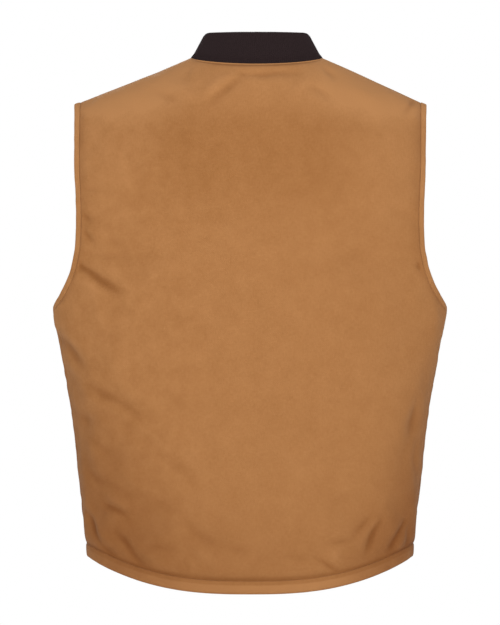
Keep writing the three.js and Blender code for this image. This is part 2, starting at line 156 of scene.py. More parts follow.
BACK_FOLDS = (
    Fold(0.881, 0.409, 0.624, 0.481, 5.0, -5.6),
    Fold(0.876, 0.439, 0.711, 0.487, 10.0, 2.45),
    Fold(0.794, 0.403, 0.608, 0.439, 9.0, 1.4),
    Fold(0.861, 0.306, 0.809, 0.328, 3.6, -2.45),
    Fold(0.85, 0.342, 0.799, 0.37, 4.0, -3.15),
    Fold(0.84, 0.389, 0.567, 0.405, 7.0, -1.96),
    Fold(0.758, 0.356, 0.639, 0.383, 6.0, -1.54),
    Fold(0.876, 0.254, 0.691, 0.268, 6.0, -1.4),
    Fold(0.975, 0.548, 0.83, 0.636, 9.0, -9.0),
    Fold(0.876, 0.64, 0.67, 0.68, 9.0, -2.8),
    Fold(0.907, 0.707, 0.783, 0.735, 7.0, -2.45),
    Fold(0.85, 0.765, 0.768, 0.878, 8.0, -2.8),
    Fold(0.773, 0.574, 0.593, 0.628, 14.0, 1.75),
    Fold(0.721, 0.674, 0.412, 0.757, 14.0, -1.75),
    Fold(0.68, 0.656, 0.371, 0.733, 10.0, 1.4),
    Fold(0.83, 0.9, 0.675, 1.015, 4.4, -5.25),
    Fold(0.732, 0.89, 0.608, 0.922, 4.2, -3.5),
    Fold(0.706, 0.878, 0.577, 0.91, 5.0, 2.45),
    Fold(0.66, 0.952, 0.5, 1.031, 6.5, -4.2),
    Fold(0.567, 0.976, 0.32, 0.984, 5.5, -2.1),
    Fold(0.33, 0.932, 0.113, 0.984, 9.0, -2.8),
    Fold(0.124, 0.982, -0.072, 0.987, 8.0, -1.96),
    Fold(0.278, 0.984, 0.134, 1.011, 7.0, 2.45),
    Fold(0.325, 1.007, 0.309, 1.035, 5.0, -2.1),
    Fold(0.515, 0.991, 0.402, 1.019, 6.0, 1.75),
    Fold(0.773, 0.926, 0.711, 0.991, 5.0, 2.1),
    Fold(-0.66, 0.92, -0.577, 1.007, 5.0, -4.2),
    Fold(-0.778, 0.926, -0.701, 0.995, 4.6, -5.6),
    Fold(-0.799, 0.938, -0.814, 0.999, 3.6, -3.15),
    Fold(-0.603, 0.916, -0.526, 0.96, 5.0, -2.1),
    Fold(-0.531, 0.96, -0.361, 0.972, 5.0, -2.45),
    Fold(-0.149, 0.997, -0.345, 1.007, 4.2, -1.75),
    Fold(-0.335, 0.999, -0.474, 1.031, 4.2, -3.15),
    Fold(-0.453, 0.976, -0.412, 1.011, 7.0, 2.45),
    Fold(-0.629, 0.926, -0.557, 0.987, 5.0, 2.1),
    Fold(-0.825, 0.715, -0.763, 0.886, 11.0, -2.8),
    Fold(-0.041, 0.946, -0.062, 0.999, 14.0, 2.1),
    Fold(0.052, 0.036, -0.294, 0.034, 5.0, -3.15),
    Fold(0.036, 0.038, 0.242, 0.099, 5.5, -2.8),
    Fold(0.093, 0.04, 0.278, 0.089, 8.0, 2.8),
    Fold(0.505, 0.07, 0.35, 0.099, 6.0, -1.75),
    Fold(0.443, 0.044, 0.258, 0.093, 7.0, 2.1),
    Fold(-0.299, 0.04, -0.18, 0.091, 7.0, 2.1),
    Fold(-0.371, 0.022, -0.443, 0.044, 4.5, -2.45),
    Fold(-0.299, 0.062, -0.423, 0.083, 6.0, -2.1),
    Fold(-0.495, 0.06, -0.701, 0.101, 10.0, 2.1),
    Fold(-0.84, 0.079, -0.763, 0.121, 4.5, -3.15),
    Fold(0.67, 0.064, 0.567, 0.097, 9.0, 1.4),
    Fold(-0.897, 0.407, -0.861, 0.427, 4.5, -3.15),
    Fold(-0.871, 0.455, -0.85, 0.519, 7.0, 1.75),
    Fold(-0.979, 0.491, -0.969, 0.556, 5.0, -2.45),
    Fold(-0.897, 0.624, -0.871, 0.689, 7.0, -2.1),
    Fold(0.845, 0.652, 0.515, 0.725, 7.0, -2.1),
    Fold(0.814, 0.693, 0.464, 0.777, 6.5, -2.1),
    Fold(0.855, 0.745, 0.629, 0.809, 6.0, -1.96),
    Fold(0.835, 0.825, 0.567, 0.886, 7.0, -2.1),
    Fold(0.515, 0.765, 0.232, 0.866, 10.0, -2.1),
    Fold(0.412, 0.745, 0.144, 0.825, 9.0, 1.4),
    Fold(0.67, 0.825, 0.423, 0.902, 8.0, 1.54),
    Fold(0.567, 0.87, 0.258, 0.926, 9.0, -1.75),
    Fold(0.96, 0.6, 0.86, 0.69, 9.0, -5.0),
    Fold(-0.845, 0.68, -0.814, 0.765, 6.0, -2.8),
    Fold(-0.855, 0.765, -0.825, 0.886, 5.0, -3.15),
    Fold(-0.711, 0.846, -0.629, 0.91, 8.0, 2.1),
    Fold(-0.423, 0.886, -0.526, 0.862, 8.0, -1.4),
    Fold(-0.258, 0.926, -0.412, 0.896, 9.0, 1.4),
    Fold(0.794, 0.483, 0.732, 0.544, 9.0, 1.4),
    Fold(0.773, 0.527, 0.649, 0.574, 9.0, -1.26),
    Fold(-0.732, 0.181, -0.794, 0.262, 10.0, 1.26),
    Fold(0.794, 0.161, 0.711, 0.232, 8.0, -1.26),
    Fold(0.629, 0.181, 0.515, 0.282, 10.0, -1.12),
    Fold(0.515, 0.262, 0.423, 0.354, 9.0, -0.98),
)

FRONT_FOLDS = (
    Fold(0.8, 0.38, 0.5, 0.48, 5.9, -5.7),
    Fold(0.78, 0.43, 0.6, 0.5, 9.8, 2.8),
    Fold(0.62, 0.3, 0.42, 0.33, 4.9, -3.2),
    Fold(0.9, 0.6, 0.65, 0.7, 9.8, -4.7),
    Fold(0.85, 0.72, 0.5, 0.84, 19.6, -4.7),
    Fold(0.8, 0.84, 0.66, 0.97, 6.9, -5.3),
    Fold(0.6, 0.9, 0.5, 0.98, 5.9, -4.2),
    Fold(0.35, 0.92, 0.12, 0.96, 9.8, -3.2),
    Fold(0.06, 0.62, 0.3, 0.66, 6.9, -2.8),
    Fold(0.06, 0.8, 0.26, 0.77, 6.9, -2.8),
    Fold(0.34, 0.12, 0.2, 0.2, 7.8, -3.2),
    Fold(0.75, 0.1, 0.66, 0.17, 5.9, -3.8),
    Fold(0.9, 0.5, 0.7, 0.56, 6.0, -2.4),
    Fold(0.93, 0.62, 0.78, 0.7, 7.0, -2.2),
    Fold(0.55, 0.4, 0.3, 0.47, 9.0, -1.6),
    Fold(0.3, 0.5, 0.12, 0.56, 9.0, -1.3),
    Fold(0.6, 0.86, 0.44, 0.93, 7.0, -2.0),
    Fold(0.9, 0.88, 0.82, 0.97, 5.0, -3.0),
    Fold(0.5, 0.16, 0.42, 0.28, 8.0, -1.5),
    Fold(0.12, 0.3, 0.3, 0.36, 9.0, -1.3),
)


def unit(vectors: Array) -> Array:
    """Returns the vectors along the last axis at length 1."""
    return vectors / np.maximum(np.linalg.norm(vectors, axis=-1, keepdims=True), 1e-12)


def blend(low: Any, high: Any, share: Any) -> Any:
    """Returns the value that lies at a share of the way from low to high."""
    return low + (high - low) * share


def ease(share: Array) -> Array:
    """Returns a share of 0 to 1 on a curve that starts and ends level."""
    t = np.clip(share, 0.0, 1.0)
    return t * t * (3.0 - 2.0 * t)


def run_along(points: Array, axis: int) -> Array:
    """Returns how far along an axis of a grid each point lies from the first one, in its own units."""
    lengths = np.linalg.norm(np.diff(points, axis=axis), axis=-1)
    start = np.zeros_like(np.take(lengths, [0], axis=axis))
    return np.concatenate([start, np.cumsum(lengths, axis=axis)], axis=axis)


def along_table(rows: Sequence[Any], key: str, column: str, place: Any) -> Array:
    """Reads a column of a table at places between its rows, on a smooth curve through them.

    Args:
        rows: the table, in rising order of its key.
        key: the field that holds each row's place.
        column: the field to read.
        place: the places to read at.

    Returns:
        The column's value at each place.
    """
    keys = np.array([getattr(row, key) for row in rows])
    values = np.array([getattr(row, column) for row in rows])
    ends = np.diff(values)[[0, -1]] / np.diff(keys)[[0, -1]]
    inner = (values[2:] - values[:-2]) / (keys[2:] - keys[:-2])
    slopes = np.concatenate([ends[:1], inner, ends[1:]])
    i = np.clip(np.searchsorted(keys, place, side="right") - 1, 0, len(keys) - 2)
    span = keys[i + 1] - keys[i]
    t = np.clip((place - keys[i]) / span, 0.0, 1.0)
    return (
        values[i] * (2 * t**3 - 3 * t**2 + 1)
        + values[i + 1] * (3 * t**2 - 2 * t**3)
        + slopes[i] * span * (t**3 - 2 * t**2 + t)
        + slopes[i + 1] * span * (t**3 - t**2)
    )


def bell(distance: Array, width: float, middle: float = 0.0) -> Array:
    """Returns a bell curve that is 1 in its middle and near 0 at twice its width from there."""
    return np.exp(-(((distance - middle) / width) ** 2))


def ripple(length: Array, pitch: float, seed: int) -> Array:
    """Makes a smooth uneven wave along a length, the same for the same seed.

    Args:
        length: the places along the line, in millimetres.
        pitch: about half the distance from one crest to the next.
        seed: the number that fixes the wave's shape.

    Returns:
        The wave's height at each place, from -1 to 1.
    """
    knots = np.random.default_rng(seed).uniform(-1.0, 1.0, RIPPLE_KNOTS)
    place = length / pitch
    i = np.floor(place).astype(int)
    return blend(knots[i % RIPPLE_KNOTS], knots[(i + 1) % RIPPLE_KNOTS], ease(place - i))


def smoothed(values: Array, rounds: int) -> Array:
    """Evens out a grid of values with its neighbours, so many times over."""
    for _ in range(rounds):
        padded = np.pad(values, 1, mode="edge")
        sides = padded[:-2, 1:-1] + padded[2:, 1:-1] + padded[1:-1, :-2] + padded[1:-1, 2:]
        values = values / 2 + sides / 8
    return values


@dataclass(frozen=True)
class VestForm:
    """The form that the vest's cloth takes on a wearer: its middle surface and its edges."""

    chest_half_width: float = 261.0
    back_depth: float = 112.0
    front_depth: float = 107.0
    squareness: float = 2.25
    body_length: float = 668.0
    underarm_drop: float = 336.0
    tail_drop: float = 48.5
    tail_power: float = 2.7
    shoulder_half_width: float = 236.5
    shoulder_drop: float = 63.0
    back_roll: float = 150.0
    front_roll: float = 330.0
    neck_half_width: float = 86.0
    back_neck_drop: float = 8.0
    front_neck_drop: float = 85.0
    neck_roundness: float = 0.65
    neck_shift: float = 9.0
    neck_shift_reach: float = 150.0
    seam_gap: float = 0.4
    hem_height: float = 13.0
    armhole_band: float = 8.0
    zip_width: float = 11.0
    hem_lap: float = 4.7  # how far the turned hem laps over its panel

    @property
    def shoulder_length(self) -> float:
        """How far the shoulder seam runs along X."""
        return self.shoulder_half_width - self.neck_half_width

    @property
    def panel_tip(self) -> float:
        """Where the panels end at the shoulder tip, inside the turned edge."""
        angle = math.atan(self.shoulder_drop / self.shoulder_length)
        return self.shoulder_half_width - (self.armhole_band + self.seam_gap) * math.cos(angle)

    @property
    def panel_tip_drop(self) -> float:
        """How far below the neck points the panels' shoulder tips lie."""
        return -float(self.shoulder_line(self.panel_tip))

    @property
    def panel_underarm(self) -> float:
        """How far below the neck points the side seam begins."""
        return self.underarm_drop + self.armhole_band + self.seam_gap

    @property
    def panel_length(self) -> float:
        """How far below the neck points the side seam ends."""
        return self.body_length - self.hem_height - self.seam_gap

    def shoulder_line(self, x: Any) -> Array:
        """Returns the height of the shoulder seam over x, going on as a low crown inside the neck."""
        out = (np.abs(x) - self.neck_half_width) / self.shoulder_length
        slope = self.shoulder_drop / self.shoulder_length
        crown = slope * (self.neck_half_width - np.square(x) / self.neck_half_width) / 2
        return np.where(out > 0, -self.shoulder_drop * out, crown)

    def below_underarm(self, z: Array) -> Array:
        """Returns the share of the way from the underarm to the hem at a height."""
        return (-z - self.underarm_drop) / (self.body_length - self.underarm_drop)

    def half_width(self, z: Array) -> Array:
        """Returns half the body's width at a height."""
        return self.chest_half_width * along_table(SECTIONS, "down", "width", self.below_underarm(z))

    def rolled(self, x: Array, z: Array, side: Side) -> Array:
        """Returns the share of its full depth that the form has reached below the shoulder seam."""
        roll = self.back_roll if side is Side.BACK else self.front_roll
        below = np.clip((self.shoulder_line(x) - z) / roll, 0.0, 1.0)
        return np.sqrt(1.0 - (1.0 - below) ** 2)

    def point(self, turn: Array, z: Array, side: Side) -> Array:
        """Finds points of the middle surface.

        Args:
            turn: 0 in the middle of the back or front, a quarter turn at the side seams.
            z: the heights.
            side: the back or the front.

        Returns:
            The points, with X, Y and Z along the last axis.
        """
        column, depth = ("back", self.back_depth) if side is Side.BACK else ("front", self.front_depth)
        x = self.half_width(z) * np.sin(turn)
        full = depth * along_table(SECTIONS, "down", column, self.below_underarm(z))
        power = self.squareness
        across = np.maximum(0.0, 1.0 - np.abs(np.sin(turn)) ** power) ** (1.0 / power)
        y = side.value * (full * across * self.rolled(x, z, side) + self.seam_gap / 2)
        over = np.clip((np.abs(x) - self.neck_half_width) / self.shoulder_length, 0.0, 1.0)
        shifted = self.neck_shift * (1.0 - over**2) * ease(1.0 + z / self.neck_shift_reach)
        return np.stack([x - shifted, y, z], axis=-1)

    def normal(self, turn: Array, z: Array, side: Side, hand: Hand) -> Array:
        """Returns the outward normals at points of the middle surface."""
        step = 1e-3
        here = self.point(turn, z, side)
        across = here - self.point(turn - hand.value * step, z, side)
        up = here - self.point(turn, z - step, side)
        return unit(np.cross(across, up)) * (-side.value * hand.value)

    def top_edge(self, x: Array, side: Side) -> Array:
        """Returns the height of a panel's top edge over x: the neckline, then the shoulder line."""
        drop = self.back_neck_drop if side is Side.BACK else self.front_neck_drop
        inside = 1.0 - (x / self.neck_half_width) ** 2
        neckline = -drop * np.maximum(inside, 0.0) ** self.neck_roundness
        return np.where(inside > 0, neckline, self.shoulder_line(x))

    def side_turn(self, z: Array, side: Side) -> Array:
        """Returns the turn at which a panel ends at the side: the side seam, then the armhole."""
        down = (-z - self.panel_tip_drop) / (self.panel_underarm - self.panel_tip_drop)
        reach = along_table(ARMHOLE_LINE, "down", side.name.lower(), np.minimum(down, 1.0))
        x = blend(self.panel_tip, self.chest_half_width, reach) / self.chest_half_width
        return np.where(down >= 1.0, math.pi / 2, np.arcsin(np.minimum(1.0, x)))

    def cloth_place(self, turn: Array, z: Array, side: Side) -> Array:
        """Returns where points lie on the cloth before it was bent, across and up, in millimetres."""
        sweep = np.linspace(0.0, math.pi / 2, 200)
        girth = run_along(self.point(sweep, np.full(200, -self.underarm_drop), side)[:, :2], 0)
        x = self.half_width(z) * np.sin(turn)
        scale = self.half_width(z) / self.chest_half_width
        wrapped = np.sign(turn) * np.interp(np.abs(turn), sweep, girth) * scale
        across = blend(x, wrapped, self.rolled(x, z, side))
        roll, depth = self.back_roll, self.back_depth
        if side is Side.FRONT:
            roll, depth = self.front_roll, self.front_depth
        below = np.linspace(0.0, 1.0, 400) ** 2
        bend = np.stack([below * roll, depth * np.sqrt(1.0 - (1.0 - below) ** 2)], axis=-1)
        share = (self.shoulder_line(x) - z) / roll
        fallen = np.interp(share, below, run_along(bend, 0)) + np.maximum(share - 1.0, 0.0) * roll
        return np.stack([across, self.shoulder_line(x) - fallen], axis=-1)


@dataclass(frozen=True)
class GridSteps:
    """How many rows and columns half a panel is made with. Each is a multiple of the cloth's step."""

    below_underarm: int = 99
    above_underarm: int = 96
    neck: int = 36
    shoulder: int = 45

    @property
    def columns(self) -> int:
        """All the columns of half a panel."""
        return self.neck + self.shoulder


@dataclass
class Sheet:
    """A panel's middle surface inside its turned edges, as a grid with rows from the hem up."""

    points: Array
    normals: Array
    cloth: Array
    hem_out: Array
    neck_out: Array
    armhole_out: Array
    side: Side


@dataclass(frozen=True)
class SheetCutter:
    """Cuts the vest's form into the middle surfaces of its panels."""

    form: VestForm
    steps: GridSteps = GridSteps()

    def row_places(self) -> Array:
        """Returns the rows' shares of the side's height, about evenly spaced along the cloth."""
        form = self.form
        underarm = (form.panel_length - form.panel_underarm) / (form.panel_length - form.panel_tip_drop)
        middle_of_shoulder = (form.neck_half_width + form.shoulder_half_width) / 2
        turn = math.asin(middle_of_shoulder / form.chest_half_width)
        places = []
        spans = ((0.0, underarm, self.steps.below_underarm), (underarm, 1.0, self.steps.above_underarm))
        for low, high, count in spans:
            share = blend(low, high, 1.0 - np.linspace(1.0, 0.0, 3000) ** 2)
            z = blend(-form.panel_length, float(form.shoulder_line(middle_of_shoulder)), share)
            run = run_along(form.point(np.full_like(z, turn), z, Side.BACK), 0)
            places.append(np.interp(np.linspace(0.0, run[-1], count + 1), run, share))
        places[0][-1] = places[1][0] = underarm
        return np.concatenate([places[0], places[1][1:]])

    def top_places(self) -> Array:
        """Returns the columns' shares of the turn at the shoulder tip, along the panel's top edge."""
        form, steps = self.form, self.steps
        tip_turn = math.asin(form.panel_tip / form.chest_half_width)
        neck_turn = math.asin(form.neck_half_width / form.chest_half_width)
        quarter = (1.0 - np.linspace(1.0, 0.0, steps.neck + 1) ** 1.6) * math.pi / 2
        neck = np.arcsin(form.neck_half_width * np.sin(quarter) / form.chest_half_width)
        shoulder = np.linspace(neck_turn, tip_turn, steps.shoulder + 1)[1:]
        return np.concatenate([neck, shoulder]) / tip_turn

    def half(self, side: Side, hand: Hand) -> Sheet:
        """Makes one half of the back or front, with its columns from the middle outwards.

        Args:
            side: the back or the front.
            hand: the wearer's left or right half.

        Returns:
            The half with its normals and the directions that run out of the cloth at its edges.
        """
        form, steps = self.form, self.steps
        up = self.row_places()[:, None]
        even = np.linspace(0.0, 1.0, steps.columns + 1)[None, :]
        top = self.top_places()[None, :]
        tip_turn = math.asin(form.panel_tip / form.chest_half_width)
        tail_drop = form.tail_drop if side is Side.BACK else 0.0
        tail = tail_drop * (1.0 - np.sin(even * math.pi / 2) ** form.tail_power)
        low = -form.panel_length - tail
        z = blend(low, form.top_edge(form.chest_half_width * np.sin(top * tip_turn), side), up)
        edge_turn = form.side_turn(blend(-form.panel_length, -form.panel_tip_drop, up), side)
        middle_x = 0.0 if side is Side.BACK else form.zip_width / 2 + form.seam_gap
        fading = np.maximum(0.0, 1.0 - even * steps.columns / steps.neck)
        middle = np.arcsin(middle_x / form.half_width(z)) * fading
        turn = hand.value * (blend(even, top, up**3) * edge_turn + middle)
        points = form.point(turn, z, side)
        normals = form.normal(turn, z, side, hand)
        return self.with_edges(points, normals, form.cloth_place(turn, z, side), side, hand)

    def with_edges(self, points: Array, normals: Array, cloth: Array, side: Side, hand: Hand) -> Sheet:
        """Settles a half's normals where two panels meet, and finds the directions out of its edges.

        Args:
            points: the half's grid of points.
            normals: the normals there.
            cloth: where the points lie on the flat cloth.
            side: the back or the front.
            hand: the wearer's left or right half.

        Returns:
            The half as a sheet.
        """
        neck, under = self.steps.neck, self.steps.below_underarm
        normals[:, 0] = self.flattened(normals[:, 0], 0)
        seam = points[-1, neck:]
        normals[-1, neck:] = self.on_seam(seam, hand)
        side_seam = points[: under + 1, -1]
        normals[: under + 1, -1] = self.on_seam(side_seam[::-1], hand)[::-1]
        across = np.array([0.0, 1.0, 0.0])

        line = points[under:, -1]
        along = np.gradient(line, axis=0)
        along[[0, -1]] = across
        inside = points[under:, -2].copy()
        inside[0], inside[-1] = points[under - 1, -1], points[-1, -2]
        armhole = self.outwards(normals[under:, -1], along, line - inside)

        along = np.gradient(points[0], axis=0)
        hem = self.outwards(normals[0], along, points[0] - points[1])
        hem[-1] = self.flattened(points[0, -1] - points[1, -1], 1)
        hem[0] = self.flattened(points[0, 0] - points[1, 0], 0)

        line = points[-1, : neck + 1]
        along = np.gradient(line, axis=0)
        along[0], along[-1] = (1.0, 0.0, 0.0), across
        inside = points[-2, : neck + 1].copy()
        inside[-1] = points[-1, neck + 1]
        collar = self.outwards(normals[-1, : neck + 1], along, line - inside)
        return Sheet(points, normals, cloth, hem, collar, armhole, side)

    @staticmethod
    def flattened(vectors: Array, axis: int) -> Array:
        """Returns vectors with one of their parts taken out, at length 1."""
        kept = np.array(vectors)
        kept[..., axis] = 0.0
        return unit(kept)

    @staticmethod
    def on_seam(line: Array, hand: Hand) -> Array:
        """Returns outward normals in the plane of a seam, square to a line that runs outwards."""
        run = np.gradient(line, axis=0)
        return unit(np.stack([-run[:, 2], 0.0 * run[:, 0], run[:, 0]], axis=-1) * hand.value)

    @staticmethod
    def outwards(normals: Array, along: Array, hint: Array) -> Array:
        """Returns the directions square to the normals and the edge, on the side of the hint."""
        out = unit(np.cross(normals, along))
        facing = np.sum(out * hint, axis=-1, keepdims=True)
        return np.where(facing < 0, -out, out)

    @staticmethod
    def whole(right: Sheet, left: Sheet) -> Sheet:
        """Joins two halves of the back into one sheet, from the wearer's right to the left."""

        def joined(name: str, axis: int) -> Array:
            """Joins one grid of both halves at the middle."""
            first, second = np.flip(getattr(right, name), axis), getattr(left, name)
            return np.concatenate([np.delete(first, -1, axis), second], axis)

        grids = [joined(name, 1) for name in ("points", "normals", "cloth")]
        edges = [joined(name, 0) for name in ("hem_out", "neck_out")]
        return Sheet(*grids, *edges, left.armhole_out, Side.BACK)


def linear(colour: str) -> tuple[float, float, float, float]:
    """Turns an sRGB hex value such as #B07A48 to a linear colour with full alpha."""
    parts = [int(colour[i : i + 2], 16) / 255 for i in (1, 3, 5)]
    red, green, blue = (c / 12.92 if c <= 0.04045 else ((c + 0.055) / 1.055) ** 2.4 for c in parts)
    return red, green, blue, 1.0


def add_node(tree: bpy.types.NodeTree, kind: str, inputs: Any = (), **settings: Any) -> Any:
    """Adds a node to a tree with its settings and links.

    Args:
        tree: the tree that the node goes into.
        kind: the node's type name.
        inputs: values, and nodes or sockets to link from, in order or by input name or number.
        settings: the node's own properties.

    Returns:
        The node.
    """
    made = tree.nodes.new(kind)
    for name, value in settings.items():
        setattr(made, name, value)
    for key, value in inputs.items() if isinstance(inputs, dict) else enumerate(inputs):
        source = value.outputs[0] if isinstance(value, bpy.types.Node) else value
        if isinstance(source, bpy.types.NodeSocket):
            tree.links.new(source, made.inputs[key])
        else:
            made.inputs[key].default_value = source
    return made


@dataclass(frozen=True)
class Zone:
    """A stretch of the vest, in metres along a direction, where a value passes softly to another."""

    along: tuple[float, float, float]
    start: float
    end: float
    low: float
    high: float
    mirrored: bool = False  # the same on the wearer's left and right

    def value_at(self, tree: bpy.types.NodeTree, where: Any) -> Any:
        """Adds the zone's nodes for a place on the vest and returns the one with its value."""
        if self.mirrored:
            where = add_node(tree, "ShaderNodeVectorMath", [where], operation="ABSOLUTE")
        place = add_node(tree, "ShaderNodeVectorMath", (where, self.along), operation="DOT_PRODUCT")
        step = (place.outputs["Value"], self.start, self.end, self.low, self.high)
        return add_node(tree, "ShaderNodeMapRange", step, interpolation_type="SMOOTHSTEP")


class Finish:
    """A finish that is made once as a material and then used on any piece."""

    name: str

    def material(self) -> bpy.types.Material:
        """Returns the finish's material, made on first use."""
        found = bpy.data.materials.get(self.name)
        if found:
            return found
        made = bpy.data.materials.new(self.name)
        made.use_nodes = True
        self.fill(made.node_tree, made.node_tree.nodes["Principled BSDF"])
        return made

    def fill(self, tree: bpy.types.NodeTree, shader: bpy.types.Node) -> None:
        """Gives a new material's shader the finish's colour, relief and gloss."""
        raise NotImplementedError


class TwoTone(Finish):
    """A finish whose colour runs from a deep to a pale tone."""

    deep: str
    pale: str

    def colour_and_raise(
        self, tree: bpy.types.NodeTree, shader: bpy.types.Node, tone: Any, height: Any, relief: float
    ) -> None:
        """Gives a shader its colour by a tone of 0 to 1, and its relief.

        Args:
            tree: the material's tree.
            shader: the shader to link to.
            tone: the node or socket of the tone.
            height: the node or socket of the surface's height.
            relief: how many millimetres a height of 1 stands for.
        """
        ends = {6: linear(self.deep), 7: linear(self.pale)}
        colour = add_node(tree, "ShaderNodeMix", {0: tone, **ends}, data_type="RGBA")
        tree.links.new(colour.outputs[2], shader.inputs["Base Color"])
        bump = add_node(tree, "ShaderNodeBump", {"Height": height, "Distance": relief * MM})
        tree.links.new(bump.outputs[0], shader.inputs["Normal"])

    @staticmethod
    def stretched_noise(tree: bpy.types.NodeTree, place: Any, across: float, up: float, detail: float) -> Any:
        """Adds noise whose grains are so many millimetres wide and tall, and returns its node."""
        scale = (1.0 / (across * MM), 1.0 / (up * MM), 1.0)
        grid = add_node(tree, "ShaderNodeVectorMath", (place, scale), operation="MULTIPLY")
        return add_node(tree, "ShaderNodeTexNoise", {"Vector": grid, "Scale": 1.0, "Detail": detail})

    @staticmethod
    def weave(tree: bpy.types.NodeTree, place: Any, pitch: float) -> Any:
        """Adds a plain weave's over and under yarns, and returns the node of their height, -1 to 1."""
        waves = []
        for part in add_node(tree, "ShaderNodeSeparateXYZ", [place]).outputs[:2]:
            angle = add_node(tree, "ShaderNodeMath", (part, math.pi / (pitch * MM)), operation="MULTIPLY")
            waves.append(add_node(tree, "ShaderNodeMath", [angle], operation="SINE"))
        return add_node(tree, "ShaderNodeMath", waves, operation="MULTIPLY")


